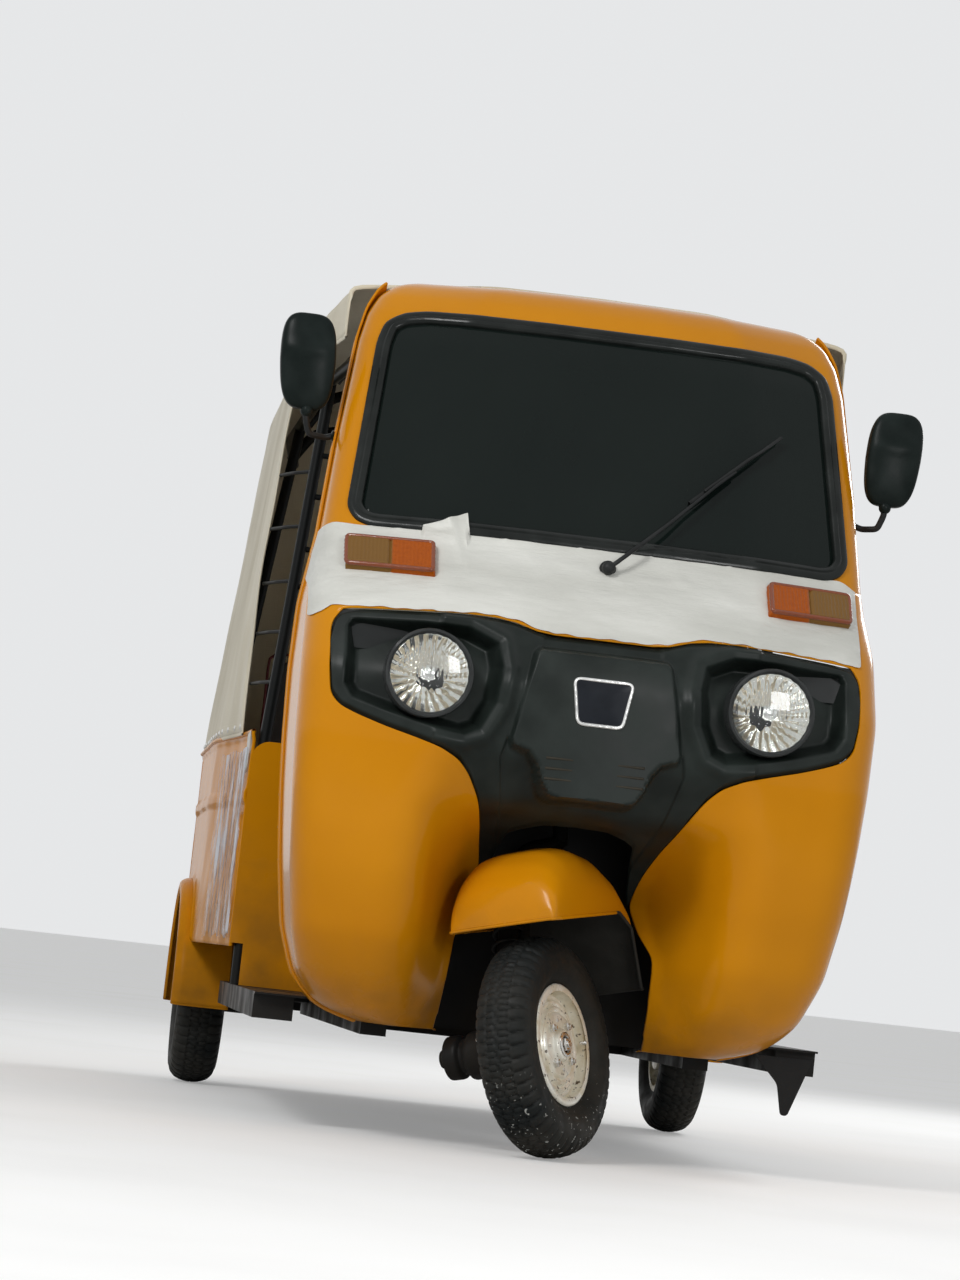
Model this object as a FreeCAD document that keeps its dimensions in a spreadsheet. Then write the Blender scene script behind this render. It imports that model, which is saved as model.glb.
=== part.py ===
import FreeCAD, Part
import math
import os
import re
import Sketcher
from FreeCAD import Placement, Rotation, Vector

# Auto rickshaw with a single steered front wheel, a canvas hood and a rear engine.
# Millimetres. +Z is up, the nose points to -Y, +X is the vehicle's left side.
# The origin is on the floor, below the middle of the vehicle's bounding box.

os.makedirs("parts", exist_ok=True)
doc = FreeCAD.newDocument("AutoRickshaw")

# Driving dimensions: name, value, what it measures
DRIVING = [
    ("overall_length", 2635, "nose to rear bumper"),
    ("overall_width", 1300, "over the rear mudguards"),
    ("overall_height", 1704, "floor to the hood's crown"),
    ("wheelbase", 2000, "front axle to rear axle"),
    ("front_overhang", 195, "nose to front axle"),
    ("rear_track", 1150, "between the rear tyres' middles"),
    ("tyre_diameter", 416, "outside, new tread"),
    ("tyre_width", 112, "section width"),
    ("rim_diameter", 230, "over the rim's flange"),
    ("rim_width", 84, "over both flanges"),
    ("axle_diameter", 34, "hub spigot"),
    ("steer_rake", 22, "degrees from upright"),
    ("steer_trail", 60, "axis on the ground ahead of the front axle"),
    ("rest_steer", 35, "degrees that the wheel is turned to the right at rest"),
    ("sheet_metal", 2.5, "body panels"),
    ("panel_gap", 0.3, "between parts that nearly touch"),
    ("cowl_half_width", 553, "at the headlamps"),
    ("cowl_seam_height", 1135, "cowl to windscreen frame"),
    ("cowl_bottom", 215, "underside of the cowl"),
    ("flange_setback", 415, "side flange behind the nose"),
    ("flange_width", 28, "turned edge of the cowl"),
    ("header_height", 1690, "top of the windscreen frame"),
    ("screen_bottom", 1150, "lower edge of the windscreen opening"),
    ("screen_top", 1600, "upper edge of the windscreen opening"),
    ("screen_bottom_half", 488, "half width of the opening below"),
    ("screen_top_half", 443, "half width of the opening above"),
    ("seal_width", 22, "rubber round the windscreen"),
    ("glass_thickness", 5, "windscreen"),
    ("lamp_spacing", 640, "between the headlamps' middles"),
    ("lamp_height", 866, "headlamp middle above the floor"),
    ("lamp_diameter", 146, "headlamp lens"),
    ("floor_height", 250, "top of the floor pan"),
    ("sill_height", 200, "underside of the sills"),
    ("body_half_width", 560, "at the driver's compartment"),
    ("tub_half_width", 620, "at the rear seat"),
    ("belt_height", 790, "top edge of the rear side panels"),
    ("post_setback", 1195, "middle post behind the nose"),
    ("quarter_setback", 1920, "rear edge of the passenger doorway behind the nose"),
    ("rear_face_setback", 2560, "rear panel behind the nose"),
    ("hood_thickness", 8, "canvas with its lining"),
    ("tube_diameter", 25, "hood frame and posts"),
    ("seat_height", 640, "top of the passenger cushion"),
    ("deck_height", 530, "top of the rear deck"),
    ("tool_box_height", 500, "top of the box under the driver's seat"),
    ("tool_box_depth", 330, "driver's box ahead of the middle post"),
    ("cushion_half_width", 500, "rear seat"),
    ("cushion_depth", 420, "rear seat, front to back"),
    ("backrest_top", 1040, "rear backrest above the floor"),
    ("muffler_diameter", 116, "silencer"),
]
# Places that follow from them: name, formula, what it is
DERIVED = [
    ("nose_y", "-overall_length / 2", "foremost point"),
    ("front_axle_y", "nose_y + front_overhang", "front axle"),
    ("rear_axle_y", "front_axle_y + wheelbase", "rear axle"),
    ("flange_y", "nose_y + flange_setback", "rear face of the cowl's flange"),
    ("post_y", "nose_y + post_setback", "bulkhead and middle posts"),
    ("quarter_y", "nose_y + quarter_setback", "rear posts of the passenger doorway"),
    ("rear_face_y", "nose_y + rear_face_setback", "rear panel"),
    ("riser_y", "quarter_y - 130", "front of the passenger seat's box"),
    ("seat_back_y", "riser_y + cushion_depth + panel_gap", "front of the rear backrest"),
    ("box_front_y", "post_y - tool_box_depth", "front of the driver's box"),
]
sheet = doc.addObject("Spreadsheet::Sheet", "Sizes")
for row, (name, number, meaning) in enumerate(DRIVING, start=1):
    sheet.set(f"A{row}", meaning)
    sheet.set(f"B{row}", str(number))
    sheet.setAlias(f"B{row}", name)
for row, (name, text, meaning) in enumerate(DERIVED, start=len(DRIVING) + 2):
    sheet.set(f"A{row}", meaning)
    sheet.set(f"B{row}", "=" + text)
    sheet.setAlias(f"B{row}", name)
    doc.recompute()


class Sizes:
    """The sheet's values as plain numbers, for shapes that are set in code."""


NAMES = {entry[0] for entry in DRIVING + DERIVED}
d = Sizes()
for name in NAMES:
    setattr(d, name, float(sheet.get(name)))


def formula(text):
    """A formula written with the sheet's names, as an expression."""
    return re.sub(r"[a-z_]+", lambda m: "Sizes." + m.group() if m.group() in NAMES else m.group(), str(text))


nose_y, front_axle_y, rear_axle_y, flange_y = d.nose_y, d.front_axle_y, d.rear_axle_y, d.flange_y
post_y, quarter_y, rear_face_y = d.post_y, d.quarter_y, d.rear_face_y
metal = d.sheet_metal
gap = d.panel_gap
tyre_radius = d.tyre_diameter / 2
rake = math.radians(d.steer_rake)
steer_axis = Vector(0, math.sin(rake), math.cos(rake))
steer_foot = Vector(0, front_axle_y - d.steer_trail, 0)
rest_turn = Placement(Vector(0, 0, 0), Rotation(steer_axis, -d.rest_steer), steer_foot)

section_radius = d.tyre_width / 2
ring_radius = tyre_radius - section_radius

sub_parts = {}


def keep(label, item):
    """Names a finished sub-part."""
    item.Label = label
    sub_parts[label] = item
    return item


def solid(label, shape, place=None):
    """A sub-part whose shape is worked out in code."""
    item = doc.addObject("Part::Feature", label)
    item.Shape = shape
    if place is not None:
        item.Placement = place
    return keep(label, item)


# Primitives whose sizes and places are formulas of the sheet's values
def bind(item, formulas):
    for prop, text in formulas.items():
        item.setExpression(prop, formula(text))
    return item


def box_item(name, corner, size):
    """A block: formulas of its low corner and of its three sizes."""
    item = doc.addObject("Part::Box", name)
    bind(item, dict(zip(("Length", "Width", "Height"), size)))
    return bind(item, dict(zip(("Placement.Base.x", "Placement.Base.y", "Placement.Base.z"), corner)))


def round_item(name, base, direction, radius, length):
    """A cylinder that starts at a point given by formulas and runs along a fixed direction."""
    item = doc.addObject("Part::Cylinder", name)
    item.Placement = Placement(Vector(0, 0, 0), Rotation(Vector(0, 0, 1), Vector(*direction)))
    bind(item, {"Radius": radius, "Height": length})
    return bind(item, dict(zip(("Placement.Base.x", "Placement.Base.y", "Placement.Base.z"), base)))


def filleted(name, base, radius, chosen=None):
    """The base with rounded edges: all of them, or those that a test picks."""
    doc.recompute()
    item = doc.addObject("Part::Fillet", name)
    item.Base = base
    item.Edges = [(i, radius, radius) for i, edge in enumerate(base.Shape.Edges, start=1)
                  if chosen is None or chosen(edge.BoundBox)]
    return item


def combined(kind, name, *items):
    """Items joined, or the first with the others cut from it."""
    if kind == "Part::Cut" and len(items) > 2:
        items = (items[0], combined("Part::MultiFuse", name + "_tools", *items[1:]))
    item = doc.addObject(kind, name)
    if kind == "Part::Cut":
        item.Base, item.Tool = items
    else:
        item.Shapes = list(items)
    doc.recompute()
    return item


# Outlines: corner points with a radius each, joined by lines and tangent arcs
PLANES = {
    "front": (lambda u, v, at: Vector(u, at, v), Vector(0, 1, 0)),
    "side": (lambda u, v, at: Vector(at, u, v), Vector(1, 0, 0)),
    "top": (lambda u, v, at: Vector(u, v, at), Vector(0, 0, 1)),
}


def rounded_path(points, closed=True):
    """Edges along 3-D corner points (point, radius): straight runs with tangent arcs at the corners."""
    count = len(points)
    ends = []
    for i, (point, radius) in enumerate(points):
        if not closed and i in (0, count - 1):
            ends.append((point, point, None))
            continue
        back = points[i - 1][0] - point
        ahead = points[(i + 1) % count][0] - point
        turn = math.pi - back.getAngle(ahead)
        if radius <= 0 or turn < 1e-4:
            ends.append((point, point, None))
            continue
        reach = min(radius * math.tan(turn / 2), 0.49 * min(back.Length, ahead.Length))
        true_radius = reach / math.tan(turn / 2)
        start = point + back * (reach / back.Length)
        finish = point + ahead * (reach / ahead.Length)
        inward = (start + finish) * 0.5 - point
        middle = point + inward * ((true_radius / math.cos(turn / 2) - true_radius) / inward.Length)
        ends.append((start, finish, middle))
    edges = []
    for i, (start, finish, middle) in enumerate(ends):
        if middle is not None:
            edges.append(Part.Arc(start, middle, finish).toShape())
        if closed or i < count - 1:
            following = ends[(i + 1) % count][0]
            edges.append(Part.LineSegment(finish, following).toShape())
    return edges


def outline(points, plane, at):
    """Closed wire in a plane from (u, v) or (u, v, radius) corners."""
    to_space = PLANES[plane][0]
    corners = [(to_space(p[0], p[1], at), p[2] if len(p) > 2 else 0) for p in points]
    return Part.Wire(rounded_path(corners))


def plate(points, plane, at, thickness):
    return Part.Face(outline(points, plane, at)).extrude(PLANES[plane][1] * thickness)


def block(low, high):
    size = Vector(*high) - Vector(*low)
    return Part.makeBox(size.x, size.y, size.z, Vector(*low))


def rod(start, finish, radius):
    start, finish = Vector(*start), Vector(*finish)
    return Part.makeCylinder(radius, (finish - start).Length, start, finish - start)


def tube(points, radius, bend):
    """Round bar along corner points, bent to one radius."""
    corners = [(Vector(*p), bend) for p in points]
    path = Part.Wire(rounded_path(corners, closed=False))
    first = corners[1][0] - corners[0][0]
    section = Part.Wire(Part.makeCircle(radius, corners[0][0], first))
    return path.makePipeShell([section], True, True)


def mirrored(points):
    """Right half corners (u, v, radius), from bottom to top, closed over to the other side."""
    return list(points) + [(-p[0],) + tuple(p[1:]) for p in reversed(points)]


def both_sides(shape):
    return shape.fuse(shape.mirror(Vector(0, 0, 0), Vector(1, 0, 0)))


# Cowl: horizontal sections, each a flange, an outer corner, a lobe's crest and a middle hollow
# height, half width, crest setback, crest half width, hollow half width, hollow setback, flange setback
COWL_ROWS = [
    (0, -203, 290, 300, 205, 400, 0),
    (25, -118, 245, 302, 204, 380, 0),
    (75, -73, 168, 304, 200, 345, 0),
    (165, -42, 100, 304, 195, 310, 0),
    (285, -24, 58, 304, 160, 400, 0),
    (355, -17, 45, 306, 165, 300, 0),
    (425, -11, 38, 306, 200, 110, 0),
    (525, -5, 28, 300, 235, 32, 0),
    (655, 0, 30, 300, 200, 15, 0),
    (785, -3, 100, 300, 160, 88, 0),
    (920, -22, 212, 300, 140, 200, -17),
]
# Windscreen frame, from the seam up: the same columns, without a hollow
header_rise = d.header_height - d.cowl_bottom
FRAME_ROWS = [
    (920, -22, 212, 300, 140, 200, -17),
    (1100, -38, 292, 290, 140, 280, 40),
    (header_rise - 150, -65, 392, 280, 130, 380, 120),
    (header_rise - 90, -79, 424, 270, 120, 412, 145),
    (header_rise - 50, -99, 452, 255, 115, 440, 160),
    (header_rise - 26, -125, 478, 238, 105, 466, 172),
    (header_rise - 12, -155, 500, 215, 95, 488, 182),
    (header_rise - 3, -193, 518, 190, 85, 506, 187),
    (header_rise, -233, 532, 165, 75, 520, 190),
]


def body_section(entry, out, back_extra=0.0):
    """One closed section of the cowl or frame, moved outward by out."""
    rise, narrower, crest, crest_x, hollow_x, hollow, flange = entry
    height = d.cowl_bottom + rise
    half = d.cowl_half_width + narrower + out
    back = flange_y + flange + back_extra
    front = nose_y + crest - out
    corners = [
        (half, back, 0),
        (half - 6, front + 62, 105 + out),
        (crest_x, front, 90 + out),
        (hollow_x, nose_y + hollow - out, 60),
    ]
    return outline(mirrored(corners), "top", height)


def skin(rows, out, back_extra=0.0):
    return Part.makeLoft([body_section(entry, out, back_extra) for entry in rows], True, True)


def with_height(entry, lift):
    return (entry[0] + lift,) + tuple(entry[1:])


cowl_solid = skin(COWL_ROWS, 0)
cowl_hollow = skin([with_height(COWL_ROWS[0], metal)] + COWL_ROWS[1:-1] + [with_height(COWL_ROWS[-1], 1)], -metal, 60)
cowl_shell = cowl_solid.cut(cowl_hollow)
seam_z = d.cowl_seam_height

# Front fascia outline and the open arch below it, both placed from the headlamps' height
lamp_z = d.lamp_height
lamp_x = d.lamp_spacing / 2
lamp_radius = d.lamp_diameter / 2
bezel_radius = lamp_radius + 10


def from_lamps(points):
    """Corners whose heights are counted from the headlamps' middle."""
    return [(x, lamp_z + rise, radius) for x, rise, radius in points]


ARCH_SIDE = [(143, -378, 0), (122, -270, 50), (60, -248, 60)]
FASCIA_HALF = from_lamps(ARCH_SIDE[::-1] + [
    (151, -378, 0), (160, -321, 60), (200, -216, 70), (250, -136, 60), (490, -66, 40), (505, 109, 45),
    (205, 124, 60), (110, 100, 60),
])
ARCH_HALF = [(206, d.cowl_bottom - 20, 0), (194, 395, 30)] + from_lamps(ARCH_SIDE)
fascia_prism = plate(mirrored(FASCIA_HALF), "front", nose_y - 60, 420)
arch_prism = plate(mirrored(ARCH_HALF), "front", nose_y - 60, 700)


def side_flange(rows, top):
    """Turned edge that follows the cowl's side and bottom, where it meets the doorway."""
    inner = [(d.cowl_half_width + e[1], d.cowl_bottom + e[0]) for e in rows]
    inner = [(x, min(z, top)) for x, z in inner]
    outer = [(x + 9, z) for x, z in inner]
    half = [(205, d.cowl_bottom - 9, 0)] + [(outer[0][0] + 4, d.cowl_bottom - 9, 30)]
    half += [(x, z, 25) for x, z in outer[1:-1]] + [(outer[-1][0], top, 0)]
    back = [(inner[-1][0] - 16, top, 0)] + [(x - 16, z, 25) for x, z in reversed(inner[2:-1])]
    back += [(inner[0][0] - 10, d.cowl_bottom + 14, 25), (205, d.cowl_bottom + 14, 0)]
    bead = plate(half + back, "front", flange_y - d.flange_width, d.flange_width)
    return both_sides(bead)


cowl = cowl_shell.fuse(side_flange(COWL_ROWS, seam_z)).cut(fascia_prism).cut(arch_prism)
solid("front_cowl", cowl.removeSplitter())

# Black fascia between the lobes: lamp pockets, bores for the lamps and a raised, stepped shield with slots
pocket_depth = 14
POCKET = [
    (lamp_x + 158, -42, 22), (lamp_x + 158, 86, 28), (lamp_x - 80, 96, 40), (lamp_x - 134, 52, 30),
    (lamp_x - 80, -82, 45), (lamp_x + 10, -92, 50), (lamp_x + 110, -60, 40),
]
SHIELD_BACK = [(96, -211, 24), (122, -148, 10), (140, -128, 10), (172, -109, 14), (136, 82, 16)]
SHIELD_FRONT = [(84, -198, 18), (108, -144, 10), (124, -124, 10), (156, -104, 12), (120, 64, 12)]


def pocket_prism(side, inset):
    """The pocket's outline as a prism along the vehicle, moved inward by inset."""
    corners = [(side * x, z, radius) for x, z, radius in from_lamps(POCKET)]
    face = Part.Face(outline(corners, "front", nose_y - 60))
    return (face.makeOffset2D(-inset) if inset else face).extrude(Vector(0, 420, 0))


def lofted_boss(back, front, back_y, front_y):
    wires = [outline(mirrored(from_lamps(back)), "front", back_y), outline(mirrored(from_lamps(front)), "front", front_y)]
    return Part.makeLoft(wires, True, True)


fascia = cowl_shell.common(fascia_prism)
pocket_back = skin(COWL_ROWS, -pocket_depth - metal, 60)
pocket_wall_layer = cowl_solid.cut(pocket_back)
pocket_floor_layer = skin(COWL_ROWS, -pocket_depth).cut(pocket_back)
for side in (-1, 1):
    whole, room = pocket_prism(side, 0), pocket_prism(side, metal)
    fascia = fascia.cut(whole).fuse(pocket_wall_layer.common(whole.cut(room)))
    fascia = fascia.fuse(pocket_floor_layer.common(whole))
shield = lofted_boss(SHIELD_BACK, SHIELD_FRONT, nose_y + 75, nose_y).cut(cowl_solid)
for rise in (-124, -145, -166):
    for side in (-1, 1):
        low_x, high_x = sorted((side * 12, side * (70 if rise > -160 else 60)))
        shield = shield.cut(block((low_x, nose_y - 5, lamp_z + rise - 4), (high_x, nose_y + 5, lamp_z + rise + 4)))
fascia = fascia.fuse(shield)
for side in (-1, 1):
    start = (side * lamp_x, nose_y - 20, lamp_z)
    fascia = fascia.cut(rod(start, (side * lamp_x, nose_y + 180, lamp_z), bezel_radius))
fascia = fascia.removeSplitter()
solid("front_fascia", fascia)


def turned_body(name, profile_points, place, radii):
    """A turned body: its sketch is half the section, and radii tie its straight runs to the sheet."""
    body = doc.addObject("PartDesign::Body", name)
    sketch = body.newObject("Sketcher::SketchObject", name + "_section")
    plane = [f for f in body.Origin.OriginFeatures if f.Role == "XY_Plane"][0]
    sketch.AttachmentSupport = [(plane, "")]
    sketch.MapMode = "FlatFace"
    edges = rounded_path([(Vector(u, v, 0), r) for u, v, r in profile_points])
    for edge in edges:
        start, finish = edge.valueAt(edge.FirstParameter), edge.valueAt(edge.LastParameter)
        if isinstance(edge.Curve, Part.Circle):
            middle = edge.valueAt((edge.FirstParameter + edge.LastParameter) / 2)
            sketch.addGeometry(Part.Arc(start, middle, finish), False)
        else:
            index = sketch.addGeometry(Part.LineSegment(start, finish), False)
            for radius, text in radii.items():
                if abs(start.y - radius) < 1e-7 and abs(finish.y - radius) < 1e-7:
                    label = f"radius_{index}"
                    sketch.addConstraint(Sketcher.Constraint("Horizontal", index))
                    bound = sketch.addConstraint(Sketcher.Constraint("DistanceY", -1, 1, index, 1, radius))
                    sketch.renameConstraint(bound, label)
                    sketch.setExpression("Constraints." + label, formula(text))
    turn = body.newObject("PartDesign::Revolution", name + "_turn")
    turn.Profile = sketch
    turn.ReferenceAxis = (sketch, ["H_Axis"])
    turn.Angle = 360
    body.Placement = place
    return keep(name, body)


# Headlamps: bowl, bezel and lens in one, turned about the lamp's own axis; along it, and out from it
LAMP_SECTION = [
    (26, 0, 0), (36, lamp_radius - 4, 12), (30, bezel_radius - gap, 0), (86, bezel_radius - gap, 0),
    (121, 38, 30), (121, 0, 0),
]
for side, hand in ((1, "left"), (-1, "right")):
    lamp_place = Placement(Vector(side * lamp_x, nose_y, lamp_z), Rotation(Vector(0, 0, 1), 90))
    turned_body(f"headlamp_{hand}", LAMP_SECTION, lamp_place,
                {bezel_radius - gap: "lamp_diameter / 2 + 10 - panel_gap"})

# Windscreen frame with its raked opening
frame_solid = skin(FRAME_ROWS, 0)
frame_hollow = skin(FRAME_ROWS[:3] + [with_height(entry, -metal) for entry in FRAME_ROWS[3:]], -metal, 60)
seam_trim = skin([with_height(FRAME_ROWS[0], -1), FRAME_ROWS[0]], -metal, 60)
frame_shell = frame_solid.cut(frame_hollow).cut(seam_trim)


def screen_outline(grow):
    return mirrored([
        (d.screen_bottom_half + grow, d.screen_bottom - grow, 60 + grow),
        (d.screen_top_half + grow, d.screen_top + grow, 90 + grow),
    ])


screen_hole = plate(screen_outline(0), "front", nose_y, 800)
solid("screen_frame", frame_shell.cut(screen_hole))

# The glass and its rubber follow the frame's own curve, inside the opening
seal_tube = plate(screen_outline(-gap), "front", nose_y, 800).cut(
    plate(screen_outline(-d.seal_width), "front", nose_y, 800))
seal_layer = skin(FRAME_ROWS, 6).cut(skin(FRAME_ROWS, -14, 60))
solid("windscreen_seal", seal_layer.common(seal_tube))
glass_tube = plate(screen_outline(-d.seal_width - gap), "front", nose_y, 800)
glass_layer = skin(FRAME_ROWS, -2).cut(skin(FRAME_ROWS, -2 - d.glass_thickness, 60))
solid("windscreen_glass", glass_layer.common(glass_tube))


# Front indicators wrap the cowl's upper corners
def indicator(side):
    low_x, high_x, low_z, high_z = 316, 484, 1052, 1118
    box_points = [(low_x, low_z, 8), (high_x, low_z, 8), (high_x, high_z, 8), (low_x, high_z, 8)]
    prism = plate([(side * p[0], p[1], p[2]) for p in box_points], "front", nose_y - 20, 330)
    layer = skin(COWL_ROWS, 24).cut(skin(COWL_ROWS, gap, 60))
    return prism.common(layer).cut(cowl_solid)


for side, hand in ((1, "left"), (-1, "right")):
    solid(f"indicator_{hand}", indicator(side))


# Wheels: half sections, across the wheel and out from the axle
rim_radius = d.rim_diameter / 2
bead_radius = rim_radius - 8
half_tyre = section_radius
TYRE_SECTION = [
    (-36, bead_radius, 3), (-36, rim_radius + 3, 4), (-half_tyre, ring_radius - 10, 36),
    (-half_tyre + 2, tyre_radius - 24, 30), (-22, tyre_radius, 26), (22, tyre_radius, 26),
    (half_tyre - 2, tyre_radius - 24, 30), (half_tyre, ring_radius - 10, 36), (36, rim_radius + 3, 4),
    (36, bead_radius, 3), (24, bead_radius, 3), (34, ring_radius + 8, 24), (22, tyre_radius - 12, 20),
    (-22, tyre_radius - 12, 20), (-34, ring_radius + 8, 24), (-24, bead_radius, 3),
]
flange_x = d.rim_width / 2
barrel = bead_radius - gap
spindle_radius = d.axle_diameter / 2
bore_radius = spindle_radius + 0.05
drum_face = -flange_x - 2
RIM_SECTION = [
    (-flange_x, barrel - 7, 3), (-flange_x, rim_radius, 2), (-36 - gap, rim_radius, 2), (-36 - gap, barrel, 2),
    (36 + gap, barrel, 2), (36 + gap, rim_radius, 2), (flange_x, rim_radius, 2), (flange_x, barrel - 7, 3),
    (18, barrel - 5, 4), (24, 72, 10), (34, 58, 8), (34, 30, 4), (44, 26, 4), (44, bore_radius, 0),
    (drum_face, bore_radius, 0), (drum_face, 62, 4), (14, 66, 6), (12, barrel - 5, 4),
]


def hub_place(x, y, z, outward):
    """A wheel's place: its disc faces +X, or -X on the right side."""
    turn = Rotation(Vector(0, 0, 1), 0 if outward > 0 else 180)
    return Placement(Vector(x, y, z), turn)


wheel_turn = Rotation(steer_axis, -d.rest_steer)
tyre_probe = Part.Face(outline(TYRE_SECTION, "top", 0)).revolve(Vector(0, 0, 0), Vector(1, 0, 0), 360)
tyre_probe.Placement = Placement(Vector(0, 0, 0), wheel_turn)
rest_centre_z = -tyre_probe.optimalBoundingBox(False, False).ZMin
front_wheel_z = rest_centre_z + (rest_centre_z - rest_turn.multVec(Vector(0, front_axle_y, rest_centre_z)).z)
front_wheel = Vector(0, front_axle_y, front_wheel_z)


# Steering: column, fork, handlebar and mudguard, built straight and then turned to the rest angle
def on_axis(along, forward=0.0, side=0.0):
    """Point by its distance up the steering axis, ahead of it and to the left of it."""
    ahead = Vector(0, -math.cos(rake), math.sin(rake))
    return steer_foot + steer_axis * along + ahead * forward + Vector(side, 0, 0)


column_low = 640
column_top = 1060
fork_offset = section_radius + 34
column = rod(on_axis(column_low), on_axis(column_top), 15)
crown = on_axis(column_low)
axle_side = Vector(-fork_offset, front_wheel.y, front_wheel.z)
leg_top = Vector(-fork_offset, crown.y, crown.z - 4)
pivot = Vector(-fork_offset, front_wheel.y + 120, front_wheel.z + 60)
leg = tube([crown, leg_top, pivot], 17, 40)
link = rod(pivot, axle_side, 14)
damper = rod(axle_side + Vector(0, -6, 10), leg_top + Vector(0, -42, -60), 19)
damper_eye = rod(leg_top + Vector(0, -42, -60), leg_top + Vector(0, 0, -20), 11)
hub_boss = rod(axle_side + Vector(-14, 0, 0), axle_side + Vector(20, 0, 0), 22)
spindle = rod(axle_side, (d.rim_width / 2, front_wheel.y, front_wheel.z), spindle_radius)
fork = column.multiFuse([leg, link, damper, damper_eye, hub_boss, spindle])
solid("fork", fork, rest_turn)

# Handlebar: a bent bar with a grip at each end and a cluster housing in the middle
bar_half = 330
bar_middle = on_axis(column_top + 8)
bar_end = on_axis(column_top, -150)
bar = tube([
    (bar_end.x - bar_half, bar_end.y, bar_end.z),
    (bar_end.x - 190, bar_end.y + 10, bar_end.z),
    (-60, bar_middle.y, bar_middle.z),
    (60, bar_middle.y, bar_middle.z),
    (bar_end.x + 190, bar_end.y + 10, bar_end.z),
    (bar_end.x + bar_half, bar_end.y, bar_end.z),
], 11, 60)
housing = Part.makeBox(150, 100, 52)
housing.Placement = Placement(on_axis(column_top - 6, 50, -75), Rotation(Vector(1, 0, 0), -d.steer_rake))
grips = [rod((side * (bar_half - 125), bar_end.y + 4, bar_end.z), (side * (bar_half + 4), bar_end.y, bar_end.z), 16)
         for side in (-1, 1)]
solid("handlebar", bar.multiFuse([housing] + grips).cut(fork), rest_turn)

# Front mudguard: side profile round the wheel, ahead of (+) or behind the axle, and above the floor
guard_half = 120
guard_roll = 38
GUARD_TOP = [
    (123, 437, 0), (112, 500, 60), (40, 572, 70), (-100, 565, 80), (-205, 470, 70), (-252, 300, 0),
]
GUARD_LOWER = [(-226, 300, 0), (-205, 415, 40), (-150, 446, 60), (100, 437, 0)]


def guard_block(inset):
    top = [(front_axle_y - u * (1 - inset / 400), v - inset, r) for u, v, r in GUARD_TOP]
    top[0] = (top[0][0], GUARD_TOP[0][1] - 20 * (inset > 0), 0)
    top[-1] = (top[-1][0], GUARD_TOP[-1][1] - 20 * (inset > 0), 0)
    if inset > 0:
        low = [(front_axle_y + 226, 280, 0), (front_axle_y, 280, 0), (front_axle_y - 100, 280, 0)]
    else:
        low = [(front_axle_y - u, v, r) for u, v, r in GUARD_LOWER]
    half = guard_half - inset
    return plate(top + low, "side", -half, 2 * half)


guard_outer = guard_block(0)
top_edges = [e for e in guard_outer.Edges
             if e.BoundBox.XLength < 1 and e.BoundBox.ZMin > 436.9 and e.BoundBox.ZMax > 455]
guard = guard_outer.makeFillet(guard_roll, top_edges)
guard_inner = guard_block(metal)
inner_edges = [e for e in guard_inner.Edges
               if e.BoundBox.XLength < 1 and e.BoundBox.ZMin > 416 and e.BoundBox.ZMax > 450]
guard = guard.cut(guard_inner.makeFillet(guard_roll - 2, inner_edges))
guard = guard.cut(rod(leg_top, pivot, 24))
guard = guard.cut(rod(crown, leg_top, 24)).cut(damper).cut(fork)
solid("front_mudguard", guard, rest_turn)


# The three wheels: a tyre and a pressed rim with its drum and hub each
def wheel(name, place):
    turned_body(f"{name}_tyre", TYRE_SECTION, place, {tyre_radius: "tyre_diameter / 2"})
    turned_body(f"{name}_rim", RIM_SECTION, place,
                {rim_radius: "rim_diameter / 2", bore_radius: "axle_diameter / 2 + 0.05"})


wheel("front", rest_turn.multiply(hub_place(0, front_axle_y, front_wheel_z, 1)))
for side, hand in ((1, "left"), (-1, "right")):
    wheel(f"rear_{hand}", hub_place(side * d.rear_track / 2, rear_axle_y, tyre_radius, side))

# Toe board with the wheel house behind the front wheel, and the steering head
toe_y = flange_y - 15
house_half = 275
house_top = 640
house_back = flange_y + 105
cowl_room = skin(COWL_ROWS, -metal - gap, 300)
cowl_and_bead = cowl
toe = plate([(-600, 218), (600, 218), (600, 940), (-600, 940)], "front", toe_y, metal)
house = block((-house_half, toe_y, 218), (house_half, house_back, house_top))
house_room = block((-house_half + metal, toe_y - 10, 200), (house_half - metal, house_back - metal, house_top - metal))
head_low = on_axis(column_low + 56)
head_high = on_axis(column_low + 220)
toe = toe.fuse(house).cut(house_room).common(cowl_room.fuse(block((-600, flange_y, 200), (600, 0, 1000))))
toe = toe.fuse(rod(head_low, head_high, 27)).cut(rod(on_axis(column_low + 20), on_axis(column_top), 15.05))
solid("toe_board", toe.cut(cowl_and_bead).removeSplitter())

# Dashboard shelf across the cowl, ahead of the handlebar
shelf_low, shelf_high = 905, 975
shelf_back = flange_y - 25
shelf = block((-600, nose_y + 130, shelf_low), (600, shelf_back, shelf_high)).common(cowl_room)
shelf = shelf.cut(block((-490, nose_y + 160, shelf_low - 1), (490, shelf_back - 25, shelf_high - 4)))
solid("dashboard", shelf.cut(rod(on_axis(700), on_axis(column_top), 60)).cut(cowl_and_bead).cut(fascia))

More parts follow.
